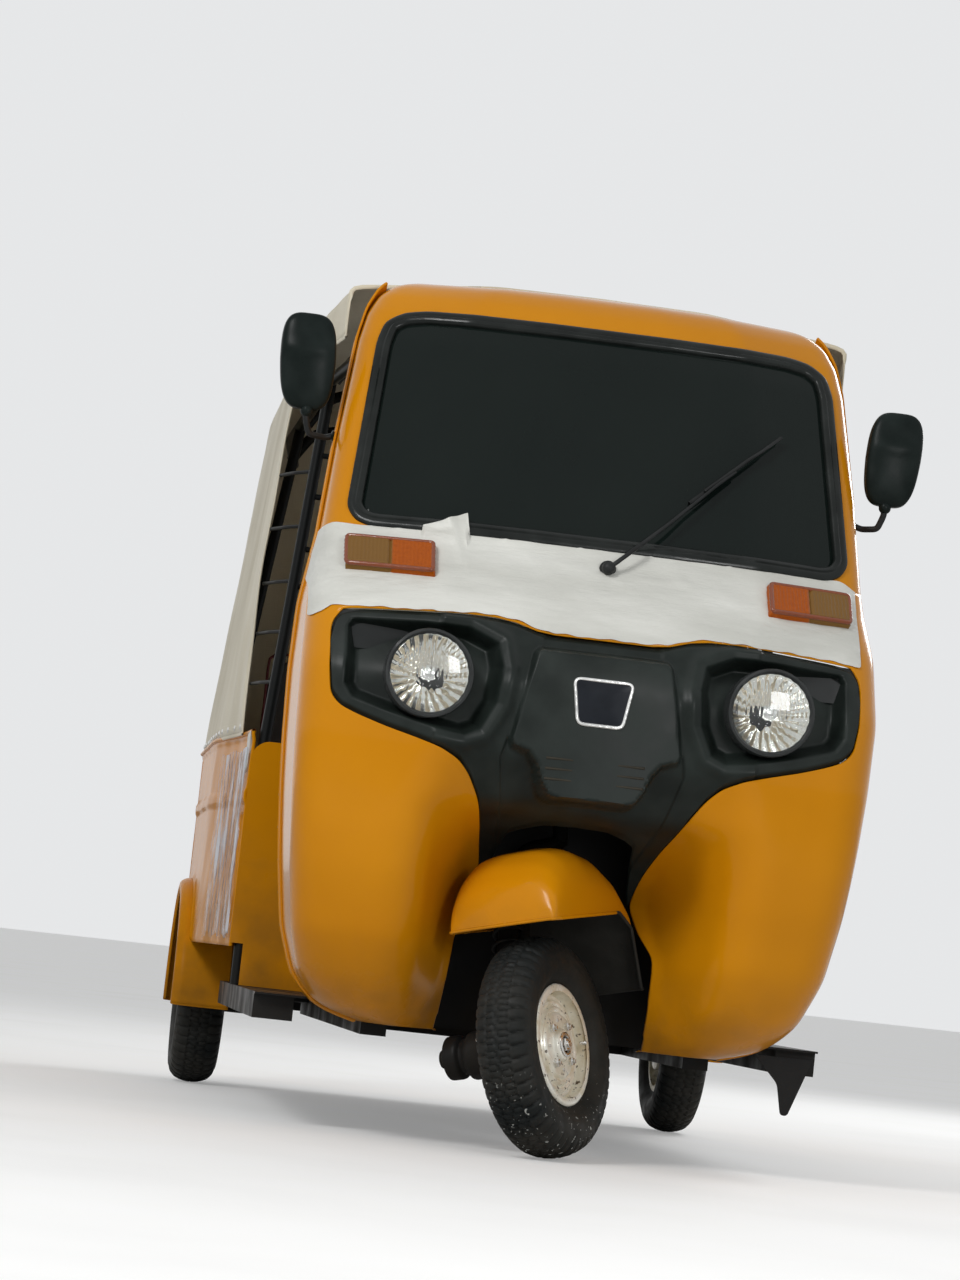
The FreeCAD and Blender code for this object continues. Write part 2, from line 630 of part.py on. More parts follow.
# Floor pan with sills, long members, the seat riser and the rear deck
pan_half = d.body_half_width - 10
deck_height, riser_y = d.deck_height, d.riser_y
sill_width = 78
flap_y, flap_thickness = flange_y + 6, 6
sill_front = flap_y + flap_thickness + gap
floor_points = [
    (-pan_half, toe_y + metal + gap), (-house_half - gap, toe_y + metal + gap), (-house_half - gap, house_back + gap),
    (house_half + gap, house_back + gap), (house_half + gap, toe_y + metal + gap), (pan_half, toe_y + metal + gap),
    (pan_half, riser_y), (-pan_half, riser_y),
]
pan = plate(floor_points, "top", d.floor_height - 4, 4)
member_end = rear_axle_y - 110
sills = []
for side in (-1, 1):
    low_x, high_x = sorted((side * pan_half, side * (pan_half - sill_width)))
    sills.append(block((low_x, sill_front, d.sill_height), (high_x, riser_y, d.floor_height)))
    low_x, high_x = sorted((side * 290, side * 340))
    sills.append(block((low_x, toe_y + 20, d.sill_height - 10), (high_x, member_end, d.floor_height)))
arch_x = d.rear_track / 2 - d.tyre_width / 2 - 14
riser = block((-arch_x, riser_y, d.floor_height - 4), (arch_x, riser_y + 4, deck_height))
deck = block((-arch_x, riser_y, deck_height - 4), (arch_x, rear_face_y - 6, deck_height))
cross = [block((-340, y, d.sill_height - 10), (340, y + 50, d.floor_height - 4)) for y in (post_y, riser_y - 50)]
cross.append(block((-340, rear_face_y - 80, d.sill_height - 10), (340, rear_face_y - 30, d.floor_height)))
uprights = [block((side * 315 - 25, y, d.floor_height), (side * 315 + 25, y + 50, deck_height - 4))
            for side in (-1, 1) for y in (member_end - 50, rear_face_y - 80)]
floor = pan.multiFuse(sills + [riser, deck] + cross + uprights)
floor = floor.cut(cowl_and_bead)
solid("floor_pan", floor.removeSplitter())

# Bulkhead behind the driver, with the tank and tool box under the driver's seat
bulkhead_low, bulkhead_high = d.floor_height + gap, 770
bulkhead = plate([(-568, 338), (568, 338), (568, bulkhead_high, 40), (-568, bulkhead_high, 40)], "front", post_y, 3)
bulkhead = bulkhead.fuse(block((-540, post_y, bulkhead_low), (540, post_y + 3, 338)))
box_front, box_top = d.box_front_y, d.tool_box_height
tank = block((-250, box_front, bulkhead_low), (250, post_y, box_top))
tank = tank.cut(block((-247, box_front + 3, bulkhead_low - 1), (247, post_y - 3, box_top - 3)))
solid("bulkhead", bulkhead.fuse(tank).removeSplitter())


# Seats: pads with rounded edges
def cushion(label, corner, size, radius):
    return keep(label, filleted(label, box_item(label + "_block", corner, size), radius))


cushion("driver_seat", ("-255", "box_front_y + 5", "tool_box_height + panel_gap"), ("510", "tool_box_depth - 9", "94"), 28)
cushion("rear_seat_cushion", ("-cushion_half_width", "riser_y + 10", "deck_height + panel_gap"),
        ("2 * cushion_half_width", "cushion_depth - 10", "seat_height - deck_height - panel_gap"), 30)
cushion("rear_backrest", ("-cushion_half_width", "seat_back_y", "deck_height + panel_gap"),
        ("2 * cushion_half_width", "75", "backrest_top - deck_height - panel_gap"), 28)

# Rear body: a U-shaped tub in plan, split into two sides and the rear panel
tub = d.tub_half_width
right_front = post_y + 3 + gap
TUB_PLAN = [
    (-560, right_front - 200, 0), (-575, right_front + 180, 200), (-tub, riser_y, 200), (-tub, rear_face_y, 85),
    (tub, rear_face_y, 85), (tub, right_front - 200, 0),
]


def tub_plan(inset):
    """Closed U: the outer line and the same line moved inward."""
    face = Part.Face(outline(TUB_PLAN, "top", 0))
    return face.makeOffset2D(-inset) if inset else face


tub_low = 330
tub_wall = tub_plan(0).extrude(Vector(0, 0, d.belt_height - tub_low))
tub_room = tub_plan(metal).extrude(Vector(0, 0, d.belt_height - tub_low + 2))
tub_wall = tub_wall.cut(tub_room)
tub_wall.translate(Vector(0, 0, tub_low))
split_y = rear_face_y - 90


def raised_band(out, low, high):
    """A pressed band round the tub's sides, standing out from the panel."""
    band = tub_plan(-out).extrude(Vector(0, 0, high - low)).cut(tub_plan(0).extrude(Vector(0, 0, high - low)))
    band.translate(Vector(0, 0, low))
    return band.common(block((-700, nose_y, 0), (700, split_y, 2000)))


for out, below_belt, height in ((4, 150, 26), (3, 12, 12)):
    tub_wall = tub_wall.fuse(raised_band(out, d.belt_height - below_belt, d.belt_height - below_belt + height))
arch_radius = tyre_radius + 60
wheel_arch = rod((-700, rear_axle_y, tyre_radius), (700, rear_axle_y, tyre_radius), arch_radius + metal + gap)
tub_wall = tub_wall.cut(wheel_arch)
inner_half = 540
right_zone = block((-700, right_front, 0), (-inner_half, split_y, 1000))
left_zone = block((inner_half, quarter_y - 60, 0), (700, split_y, 1000))
solid("side_panel_right", tub_wall.common(right_zone))
solid("side_panel_left", tub_wall.common(left_zone))
rear_shell = tub_wall.common(block((-700, split_y + gap, 0), (700, rear_face_y + 10, 1000)))
lid_half, lid_low, lid_high = 300, 400, 725
lid_hole = [(-lid_half, lid_low, 25), (lid_half, lid_low, 25), (lid_half, lid_high, 25), (-lid_half, lid_high, 25)]
rear_shell = rear_shell.cut(plate(lid_hole, "front", rear_face_y - 20, 60))
hinge_y, hinge_z = rear_face_y + 9, lid_high + 14
for x in (-200, 200):
    lug = block((x - 12, rear_face_y, hinge_z - 8), (x + 12, hinge_y + 8, hinge_z + 8))
    rear_shell = rear_shell.fuse(lug).cut(rod((x - 40, hinge_y, hinge_z), (x + 40, hinge_y, hinge_z), 4.05))
solid("rear_panel", rear_shell.removeSplitter())

# Engine lid: a louvred cover with a turned rim, on two hinge pins
lid_gap = 5
lid_thick = 3
hinge_eye = 7.2
louvre_out, louvre_rows, louvre_pitch = 10, 5, 50
LID = [(s * (lid_half - lid_gap), z, 20) for s, z in
       ((-1, lid_low + lid_gap), (1, lid_low + lid_gap), (1, lid_high - lid_gap), (-1, lid_high - lid_gap))]
lid = plate(LID, "front", rear_face_y, lid_thick)
louvre_y = rear_face_y + lid_thick
for row in range(louvre_rows):
    z = lid_low + 50 + row * louvre_pitch
    for low_x, high_x in ((-250, -30), (30, 250)):
        hump = rod((low_x, louvre_y - 1, z), (high_x, louvre_y - 1, z), louvre_out)
        hump = hump.common(block((low_x, rear_face_y + 1, z), (high_x, louvre_y + louvre_out, z + louvre_out)))
        scoop = rod((low_x + 2, louvre_y - 1, z), (high_x - 2, louvre_y - 1, z), louvre_out - 2)
        slot = block((low_x + 2, rear_face_y - 1, z - 1), (high_x - 2, louvre_y, z + louvre_out - 4))
        lid = lid.fuse(hump).cut(scoop).cut(slot)
for x in (-200, 200):
    for arm_x in (x - 24, x + 24):
        arm = block((arm_x - 6, rear_face_y + 2, lid_high - 40), (arm_x + 6, hinge_y + 5, hinge_z))
        lid = lid.fuse(arm).fuse(rod((arm_x - 6, hinge_y, hinge_z), (arm_x + 6, hinge_y, hinge_z), hinge_eye))
    lid = lid.fuse(rod((x - 30, hinge_y, hinge_z), (x + 30, hinge_y, hinge_z), 4))
solid("engine_lid", lid.removeSplitter())


# Tail lamps on the rear panel's corners
def lamp_edge(bound):
    return bound.YMin > rear_face_y + 31 or bound.YLength > 30


for start, hand in (("455", "left"), ("-525", "right")):
    body = box_item(f"tail_lamp_{hand}_block", (start, "rear_face_y + panel_gap", "560"), ("70", "32 - panel_gap", "185"))
    keep(f"tail_lamp_{hand}", filleted(f"tail_lamp_{hand}", body, 9, lamp_edge))

# Rear bumper bar with its two brackets, and the bare number plate holder
bumper_radius = 17.5
bumper_y = -nose_y - bumper_radius
bumper = tube([(-500, bumper_y - 90, 300), (-500, bumper_y, 300), (500, bumper_y, 300), (500, bumper_y - 90, 300)],
              bumper_radius, 60)
for side in (-1, 1):
    bumper = bumper.fuse(rod((side * 315, rear_face_y - 30 + gap, 300), (side * 315, bumper_y, 300), 14))
solid("rear_bumper", bumper)
face = box_item("holder_plate", ("-110", "rear_face_y + panel_gap", "335"), ("220", "3", "60"))
bolt_holes = [round_item(f"holder_hole_{i}", (x, "rear_face_y - 5", "365"), (0, 1, 0), "3.25", "25")
              for i, x in enumerate(("-75", "75"))]
keep("number_plate_holder", combined("Part::Cut", "number_plate_holder", face, *bolt_holes))

# Rear mudguards: rings over the wheels with a turned outer lip
for side, hand in ((1, "left"), (-1, "right")):
    inner_x, outer_x = arch_x + 14, d.overall_width / 2
    profile = [
        (side * inner_x, arch_radius), (side * (outer_x - metal), arch_radius),
        (side * (outer_x - metal), arch_radius - 22), (side * outer_x, arch_radius - 22),
        (side * outer_x, arch_radius + metal), (side * inner_x, arch_radius + metal),
    ]
    face = Part.Face(outline(profile, "top", 0))
    guard_ring = face.revolve(Vector(0, 0, 0), Vector(1, 0, 0), 190)
    guard_ring.rotate(Vector(0, 0, 0), Vector(1, 0, 0), -95)
    guard_ring.rotate(Vector(0, 0, 0), Vector(1, 0, 0), 90)
    guard_ring.translate(Vector(0, rear_axle_y, tyre_radius))
    solid(f"rear_mudguard_{hand}", guard_ring)

# Engine, exhaust, and the arms that carry the rear wheels
engine_half = 190
engine_block = box_item("engine_block", ("-190", "rear_axle_y - 160", "265"),
                        ("380", "350", "deck_height - 4 - panel_gap - 265"))
engine_item = keep("engine", filleted("engine", engine_block, 20, lambda bound: bound.ZLength > 100))
can = round_item("muffler_can", ("-170", "rear_axle_y + 270", "320"), (1, 0, 0), "muffler_diameter / 2", "350")
pipe = round_item("muffler_pipe", ("100", "rear_axle_y + 190", "322"), (0, 1, 0), "16", "80")
keep("muffler", combined("Part::MultiFuse", "muffler", can, pipe))
engine = engine_item.Shape
arm_pivot_y = riser_y + 60
for side, hand in ((1, "left"), (-1, "right")):
    arm_x = side * 440
    boss_end = side * (d.rear_track / 2 + drum_face - 2)
    arm = rod((arm_x, arm_pivot_y, 235), (arm_x, rear_axle_y, tyre_radius), 24)
    arm = arm.fuse(rod((arm_x - side * 30, rear_axle_y, tyre_radius), (boss_end, rear_axle_y, tyre_radius), 34))
    arm = arm.fuse(rod((boss_end, rear_axle_y, tyre_radius), (side * (d.rear_track / 2 + 46), rear_axle_y, tyre_radius),
                       spindle_radius))
    arm = arm.fuse(rod((side * (engine_half + gap), rear_axle_y, tyre_radius + 62),
                       (arm_x, rear_axle_y, tyre_radius), 13))
    arm = arm.fuse(rod((side * (340 + gap), arm_pivot_y, 235), (arm_x + side * 24, arm_pivot_y, 235), 16))
    arm = arm.fuse(rod((arm_x, rear_axle_y - 60, tyre_radius + 10), (arm_x, rear_axle_y - 60, deck_height - 4 - gap), 26))
    solid(f"trailing_arm_{hand}", arm.cut(engine))

# Hood: an arched cross-section, cut to its side profile and its plan
hood_low = d.belt_height + gap
hood_front_y = nose_y + 606
hood_back_y = nose_y + 2548
crown = d.overall_height
belt_half, eave_half = 622, 548


def hood_block(inset):
    front, back, low = hood_front_y - inset, hood_back_y - inset, hood_low - inset / 4
    arch = [
        (belt_half - inset, low, 0), (eave_half - inset, crown - 40 - inset, 120), (eave_half * 0.4, crown - inset, 900),
    ]
    side = [(front, low - 9, 0), (back, low - 9, 0), (back, crown + 12 - inset, 118), (front, crown + 12 - inset, 0)]
    plan = [
        (508 - inset, front, 0), (572 - inset, post_y, 0), (640 - inset, quarter_y, 0), (640 - inset, back, 80 - inset),
    ]
    block = plate(mirrored(arch), "front", front, back - front)
    return block.common(plate(side, "side", -700, 1400)).common(plate(mirrored(plan), "top", low - 9, 1000))


eave = 1560
hood_shell = hood_block(0).cut(hood_block(d.hood_thickness))
right_edge_y = post_y + 160
hood_shell = hood_shell.cut(block((-700, nose_y, 0), (-200, right_edge_y, eave)))
hood_shell = hood_shell.cut(block((200, nose_y, 0), (700, quarter_y, eave)))
WINDOW = [(-340, 1130, 60), (340, 1130, 60), (300, 1450, 60), (-300, 1450, 60)]
window_prism = plate(WINDOW, "front", rear_face_y - 140, 200)
solid("hood", hood_shell.cut(window_prism).removeSplitter())
pane_layer = hood_block(3).cut(hood_block(5))
PANE = [(p[0] - gap * (1 if p[0] > 0 else -1), p[1] + gap * (1 if p[1] < 1300 else -1), p[2]) for p in WINDOW]
solid("rear_window", pane_layer.common(plate(PANE, "front", rear_face_y - 140, 200)))

# Tube frame under the hood: side rails, bows, posts and the guard bars behind the driver
tube_radius = d.tube_diameter / 2
rail_z = 1560
post_line = post_y + 3 + gap + tube_radius
quarter_foot = tub - metal - gap - tube_radius
rail = []
for side in (-1, 1):
    rail.append(tube([(side * 440, nose_y + 640, rail_z), (side * 485, post_y, rail_z),
                      (side * 508, rear_axle_y, rail_z - 8), (side * 480, rear_face_y - 92, rail_z - 30)],
                     tube_radius, 300))
    rail.append(tube([(side * 545, post_line, d.floor_height + gap), (side * 545, post_line, bulkhead_high - 40),
                      (side * 487, post_line, rail_z)], tube_radius, 150))
    rail.append(tube([(side * quarter_foot, quarter_y + 30, deck_height + 10),
                      (side * quarter_foot, quarter_y + 30, d.belt_height - 90),
                      (side * 500, quarter_y + 30, rail_z)], tube_radius, 150))
for y, z, foot in ((post_line, 1668, rail_z), (quarter_y + 30, 1668, rail_z - 5), (rear_face_y - 120, 1646, rail_z - 26)):
    half = 478 if y < 0 else 490
    rail.append(tube([(-half, y, foot), (-half + 50, y, z - 36), (-half + 190, y, z - 8), (half - 190, y, z - 8),
                      (half - 50, y, z - 36), (half, y, foot)], tube_radius, 70))
for z, half in ((1108, 515), (1190, 512), (1305, 504), (1395, 498)):
    rail.append(rod((-half, post_line, z), (half, post_line, z), 6))
for x in (-330, -110, 110, 330):
    rail.append(rod((x, post_line, 1108), (x, post_line, 1395), 5))
frame_tubes = rail[0].multiFuse(rail[1:])
solid("hood_frame", frame_tubes.removeSplitter())


# Wiper, mirrors and the rubber flap
def face_y(shape, x, z):
    """Where a line along the vehicle first meets a shape."""
    line = Part.makeLine(Vector(x, nose_y - 80, z), Vector(x, 0, z))
    return line.common(shape).BoundBox.YMin


wiper_foot = Vector(8, face_y(cowl_solid, 8, 1112), 1112)
wiper_tip_low = Vector(160, face_y(frame_solid, 160, 1259) - 12, 1259)
wiper_tip_high = Vector(341, face_y(frame_solid, 341, 1421) - 12, 1421)
wiper = rod(wiper_foot + Vector(0, 20, 0), wiper_foot + Vector(0, -30, 0), 13).cut(skin(COWL_ROWS, gap))
arm_middle = (wiper_tip_low + wiper_tip_high) * 0.5
wiper = wiper.fuse(rod(wiper_foot + Vector(0, -24, 0), arm_middle + Vector(0, -8, 0), 4))
wiper = wiper.fuse(rod(wiper_tip_low, wiper_tip_high, 6))
solid("wiper", wiper.cut(skin(FRAME_ROWS, gap + 6)))
for side, hand, low_z in ((1, "left", 1326), (-1, "right", 1376)):
    low_x, high_x = sorted((side * 530, side * 640))
    mirror_y = nose_y + 395
    head = block((low_x, mirror_y, low_z), (high_x, mirror_y + 42, low_z + 190))
    head = head.makeFillet(18, head.Edges)
    foot_z = low_z - 40
    below, above = [pair for pair in zip(FRAME_ROWS, FRAME_ROWS[1:]) if d.cowl_bottom + pair[1][0] > foot_z][0]
    part_way = (foot_z - d.cowl_bottom - below[0]) / (above[0] - below[0])
    foot_x = d.cowl_half_width + below[1] + part_way * (above[1] - below[1]) + 1.5
    stalk = tube([(side * (foot_x + 5), mirror_y + 50, foot_z), (side * 560, mirror_y + 35, foot_z - 14),
                  (side * 575, mirror_y + 20, low_z + 40)], 7, 25)
    foot = rod((side * foot_x, mirror_y + 50, foot_z), (side * (foot_x + 9), mirror_y + 50, foot_z), 12)
    solid(f"mirror_{hand}", head.multiFuse([stalk, foot]))
FLAP = [(430, 232, 0), (545, 232, 0), (530, 190, 20), (505, 120, 8), (492, 120, 8), (480, 180, 30)]
flap = plate(FLAP, "front", flap_y, flap_thickness)
solid("splash_flap", flap.cut(floor.fuse(toe)))

doc.recompute()
for item in doc.Objects:
    if {"Invalid", "Error"} & set(item.State):
        raise RuntimeError(f"{item.Label}: {item.State}")
for label, item in sub_parts.items():
    shape = item.Shape
    if shape.isNull() or not shape.isValid() or not shape.Solids:
        raise RuntimeError(f"{label}: empty or not valid")
    shape.exportStep(os.path.join("parts", label + ".step"))
    box = shape.BoundBox
    print(f"{label:22s} solids {len(shape.Solids)} faces {len(shape.Faces):4d} litres {shape.Volume / 1e6:8.3f}"
          f"  X {box.XMin:7.0f} {box.XMax:7.0f}  Y {box.YMin:7.0f} {box.YMax:7.0f}  Z {box.ZMin:6.0f} {box.ZMax:6.0f}")
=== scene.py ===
import bmesh
import bpy
import numpy as np
from mathutils import Matrix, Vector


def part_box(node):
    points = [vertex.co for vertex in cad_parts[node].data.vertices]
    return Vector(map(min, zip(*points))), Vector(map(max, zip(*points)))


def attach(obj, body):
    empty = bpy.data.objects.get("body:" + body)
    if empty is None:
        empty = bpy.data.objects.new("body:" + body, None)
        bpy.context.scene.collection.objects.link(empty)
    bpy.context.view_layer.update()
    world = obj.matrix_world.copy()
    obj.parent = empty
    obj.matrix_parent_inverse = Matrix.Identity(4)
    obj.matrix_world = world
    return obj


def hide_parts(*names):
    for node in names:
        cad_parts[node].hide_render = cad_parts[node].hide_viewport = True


# Auto rickshaw, dressed over its solid model. Lengths are in millimetres, and add_piece turns them into metres.
# X runs to the vehicle's left, Y to its tail, Z up. A patch is a grid of points (rows, columns, 3).
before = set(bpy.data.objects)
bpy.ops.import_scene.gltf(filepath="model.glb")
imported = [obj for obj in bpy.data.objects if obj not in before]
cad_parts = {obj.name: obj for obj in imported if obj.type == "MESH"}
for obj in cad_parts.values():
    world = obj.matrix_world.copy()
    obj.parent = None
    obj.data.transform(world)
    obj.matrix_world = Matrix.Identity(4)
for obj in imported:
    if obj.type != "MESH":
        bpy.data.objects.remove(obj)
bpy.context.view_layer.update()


# Camera: low in front of the vehicle's right side, rolled a little, with a long lens. Yaw, pitch and roll turn a
# view along +Y into the photograph's.
def stand(item, right, up, back, spot):
    """Links a camera or lamp, and stands it on a spot by its own three directions."""
    item.matrix_world = Matrix([*np.column_stack([right, up, back, spot]).tolist(), [0, 0, 0, 1]])
    bpy.context.collection.objects.link(item)


yaw, pitch, roll = np.radians([6.17, 4.98, 6.23])
ahead = np.array([np.sin(yaw) * np.cos(pitch), np.cos(yaw) * np.cos(pitch), np.sin(pitch)])
level = np.array([np.cos(yaw), -np.sin(yaw), 0])
above = np.cross(level, ahead)
camera_data = bpy.data.cameras.new("camera")
camera_data.sensor_fit, camera_data.sensor_height = "VERTICAL", 36
camera_data.lens, camera_data.clip_end = 106.5, 300
camera = bpy.data.objects.new("camera", camera_data)
stand(camera, np.cos(roll) * level + np.sin(roll) * above, -np.sin(roll) * level + np.cos(roll) * above, -ahead,
      (-0.979, -8.1795, 0.333))
bpy.context.scene.camera = camera
bpy.context.scene.view_settings.view_transform = "Standard"

# Studio: a pale floor that runs to a pale horizon, a large key lamp high on the picture's left, a lamp near the
# camera, and one behind that gives the edges of the hood and the panels a thin light.
AMBIENT, BACKDROP, FLOOR_GLOW = 0.42, 0.92, 0.24
LAMPS = [  # name, place, aim, size, watts
    ("key", (-3.6, -5.2, 4.4), (0, -0.6, 0.9), 1.6, 175),
    ("near_camera", (1.6, -6.0, 1.9), (0, -0.9, 0.8), 1.0, 48),
    ("behind", (3.4, 4.2, 3.6), (0, 0.6, 1.0), 2.4, 130),
]


def unit(vectors):
    """Vectors divided by their lengths."""
    return vectors / np.linalg.norm(vectors, axis=-1, keepdims=True)


def feed(tree, socket, value):
    """Feeds a socket from another node's output, or sets it to a number or a colour."""
    if isinstance(value, bpy.types.NodeSocket):
        tree.links.new(value, socket)
    else:
        socket.default_value = value


def wired(tree, kind, inputs=(), **settings):
    """A new shader node with its settings, and its inputs fed by name or number."""
    node = tree.nodes.new("ShaderNode" + kind)
    for name, value in settings.items():
        setattr(node, name, value)
    for name, value in dict(inputs).items():
        feed(tree, node.inputs[name], value)
    return node


class Finish:
    """A node material on Object coordinates, and the nodes that make its values and colours from the place.

    gloss is a cloud for the roughness; tint is a scale, a detail, two colours and perhaps the cloud's limits."""

    SOCKETS = {"specular": "Specular IOR Level", "ior": "IOR", "coat_ior": "Coat IOR"}

    def __init__(self, name, colour, rough=0.5, metal=0.0, gloss=None, tint=None, **sockets):
        self.data = bpy.data.materials.new(name)
        self.data.use_nodes = True
        self.tree = self.data.node_tree
        self.where = self.node("TexCoord").outputs["Object"]
        self.put(base_color=(*colour, 1), roughness=rough, metallic=metal, **sockets)
        if gloss:
            self.put(roughness=self.cloud(*gloss))
        if tint:
            scale, detail, first, second, *limits = tint
            factor = self.cloud(scale, detail, *limits) if limits else self.noise(scale, detail)
            self.put(base_color=self.mixed(factor, first, second))

    def node(self, kind, inputs=(), **settings):
        """A new node of this material."""
        return wired(self.tree, kind, inputs, **settings)

    def put(self, **sockets):
        """Sets or feeds sockets of the surface shader."""
        shader = self.tree.nodes["Principled BSDF"]
        for name, value in sockets.items():
            feed(self.tree, shader.inputs[self.SOCKETS.get(name, name.replace("_", " ").title())], value)

    def maths(self, operation, *values):
        """The result of an operation on numbers or values."""
        return self.node("Math", enumerate(values), operation=operation).outputs[0]

    def part(self, letter):
        """The place's X, Y or Z in metres."""
        return self.node("SeparateXYZ", {0: self.where}).outputs[letter]

    def noise(self, scale, detail=4.0, stretch=None):
        """Cloudy values round a half, at so many cells a metre; stretch squeezes them along an axis."""
        where = self.node("Mapping", {"Vector": self.where, "Scale": stretch}).outputs[0] if stretch else self.where
        return self.node("TexNoise", {"Vector": where, "Scale": scale, "Detail": detail}).outputs["Fac"]

    def between(self, value, low, high, start=0.0, finish=1.0):
        """Value from low to high becomes start to finish, and stays inside."""
        return self.node("MapRange", {"Value": value, "From Min": low, "From Max": high, "To Min": start,
                                      "To Max": finish}).outputs[0]

    def cloud(self, scale, detail, *limits):
        """Noise brought between limits."""
        return self.between(self.noise(scale, detail), *limits)

    def mixed(self, factor, first, second):
        """Colour between two colours or colour sockets; inputs 6 and 7 and output 2 are the node's colours."""
        first, second = ((*c, 1) if isinstance(c, tuple) else c for c in (first, second))
        return self.node("Mix", {0: factor, 6: first, 7: second}, data_type="RGBA").outputs[2]

    def bump(self, height, strength, depth):
        """Raises the surface by a height value, up to depth metres."""
        self.put(normal=self.node("Bump", {"Height": height, "Strength": strength, "Distance": depth}).outputs[0])

    def dusty(self, colour, dust, low, high):
        """A colour that a layer of dust hides more towards the ground, in clouds; and the dust's amount."""
        amount = self.maths("MULTIPLY", self.between(self.part("Z"), high, low), self.cloud(9, 6, 0.35, 0.7))
        return self.mixed(amount, colour, dust), amount


world = bpy.data.worlds.new("studio")
bpy.context.scene.world = world
world.use_nodes = True
sky = world.node_tree.nodes["Background"]
sky.inputs["Color"].default_value = (0.86, 0.87, 0.88, 1)
rays = wired(world.node_tree, "LightPath").outputs
seen = rays["Is Camera Ray"]
for ray in ("Is Glossy Ray", "Is Transmission Ray"):
    seen = wired(world.node_tree, "Math", {0: seen, 1: rays[ray]}, operation="MAXIMUM").outputs[0]
bright = wired(world.node_tree, "Math", {0: seen, 1: BACKDROP - AMBIENT, 2: AMBIENT}, operation="MULTIPLY_ADD")
feed(world.node_tree, sky.inputs["Strength"], bright.outputs[0])
for name, spot, aim, size, watts in LAMPS:
    data = bpy.data.lights.new(name, "AREA")
    data.size, data.energy = size, watts
    back = unit(np.array(spot, float) - np.array(aim, float))
    across = unit(np.cross((0, 0, 1), back))
    stand(bpy.data.objects.new(name, data), across, np.cross(back, across), back, spot)
floor_paint = Finish("studio_floor", (0.72, 0.72, 0.71), 0.75, emission_color=(1, 1, 1, 1),
                     tint=(1.5, 8, (0.70, 0.70, 0.69), (0.76, 0.76, 0.75), 0.3, 0.7))
camera_ray = floor_paint.node("LightPath").outputs["Is Camera Ray"]
floor_paint.put(emission_strength=floor_paint.between(camera_ray, 0, 1, 0, FLOOR_GLOW))
floor_mesh = bpy.data.meshes.new("floor")
floor_mesh.from_pydata([(-90, -30, 0), (90, -30, 0), (90, 150, 0), (-90, 150, 0)], [], [(0, 1, 2, 3)])
floor = bpy.data.objects.new("floor", floor_mesh)
floor_mesh.materials.append(floor_paint.data)
bpy.context.collection.objects.link(floor)

# Cowl: one pressed steel shell with a deep lobe on each side of the wheel, sprayed orange yellow and glossy.
# Its lips are rolled inward round the black fascia and the wheel arch, and a folded edge closes it at the doorways.
NOSE, FLANGE, SEAM = -1317.5, -902.5, 1135.0
CORNER_X, CORNER_Z = 484, 975  # where the fascia's top meets the lobe's edge
# Height, half width, crest, crest half width, hollow half width, hollow, edge; the setbacks are behind the nose
COWL_ROWS = [
    (215, 350, 290, 300, 205, 400, 0), (222, 398, 262, 301, 204, 392, 0), (240, 437, 232, 302, 204, 380, 0),
    (290, 483, 166, 304, 200, 345, 0), (380, 513, 98, 304, 195, 310, 0), (500, 530, 56, 304, 160, 400, 0),
    (570, 537, 43, 306, 165, 300, 0), (640, 543, 36, 306, 200, 110, 0), (740, 549, 28, 300, 235, 32, 0),
    (870, 553, 30, 300, 200, 15, 0), (1000, 550, 100, 300, 160, 88, 0), (1135, 531, 212, 300, 140, 200, -17),
]
# Edge of the lobe, from the floor up: wheel arch, then the fascia's lower and outer edge (height, half width)
LOBE_EDGE = [(215, 205), (300, 199), (395, 194), (440, 166), (488, 150), (545, 160), (600, 178), (650, 200), (690, 224),
             (715, 248), (733, 285), (746, 330), (762, 390), (778, 440), (792, 475), (812, 494), (860, 501), (940, 504),
             (958, 498), (CORNER_Z, CORNER_X)]
# Top edge of the fascia (half width, height)
FASCIA_TOP = [(0, 966), (90, 966), (125, 970), (165, 982), (205, 988), (260, 989), (340, 986), (430, 981), (470, 978),
              (CORNER_X, CORNER_Z), (900, 975)]


def xyz(*columns):
    """Points from columns of numbers, spread to one shape."""
    return np.stack(np.broadcast_arrays(*(np.asarray(c, float) for c in columns)), -1)


def blend(start, finish, t):
    """Part t of the way from start to finish."""
    return start * (1 - t) + finish * t


def read(table, x, column=1):
    """A table's column where its first column is x, in straight runs between the rows."""
    table = np.asarray(table, float)
    return np.interp(x, table[:, 0], table[:, column])


def yellow_paint(name, dust_low=0.15, dust_high=0.5, coat=0.3, specular=0.1):
    """Gloss enamel with a faint ripple, a clear coat and dust towards the ground."""
    made = Finish(name, (0.60, 0.24, 0.003), 0.3, specular=specular, coat_weight=coat, coat_roughness=0.06,
                  coat_ior=1.3)
    enamel = made.mixed(made.cloud(3.0, 3, 0.3, 0.7), (0.60, 0.225, 0.002), (0.68, 0.265, 0.003))
    colour, grime = made.dusty(enamel, (0.31, 0.135, 0.014), dust_low, dust_high)
    made.put(base_color=colour, roughness=made.between(grime, 0, 1, 0.2, 0.62))
    made.bump(made.noise(38, 2), 0.08, 0.002)
    return made


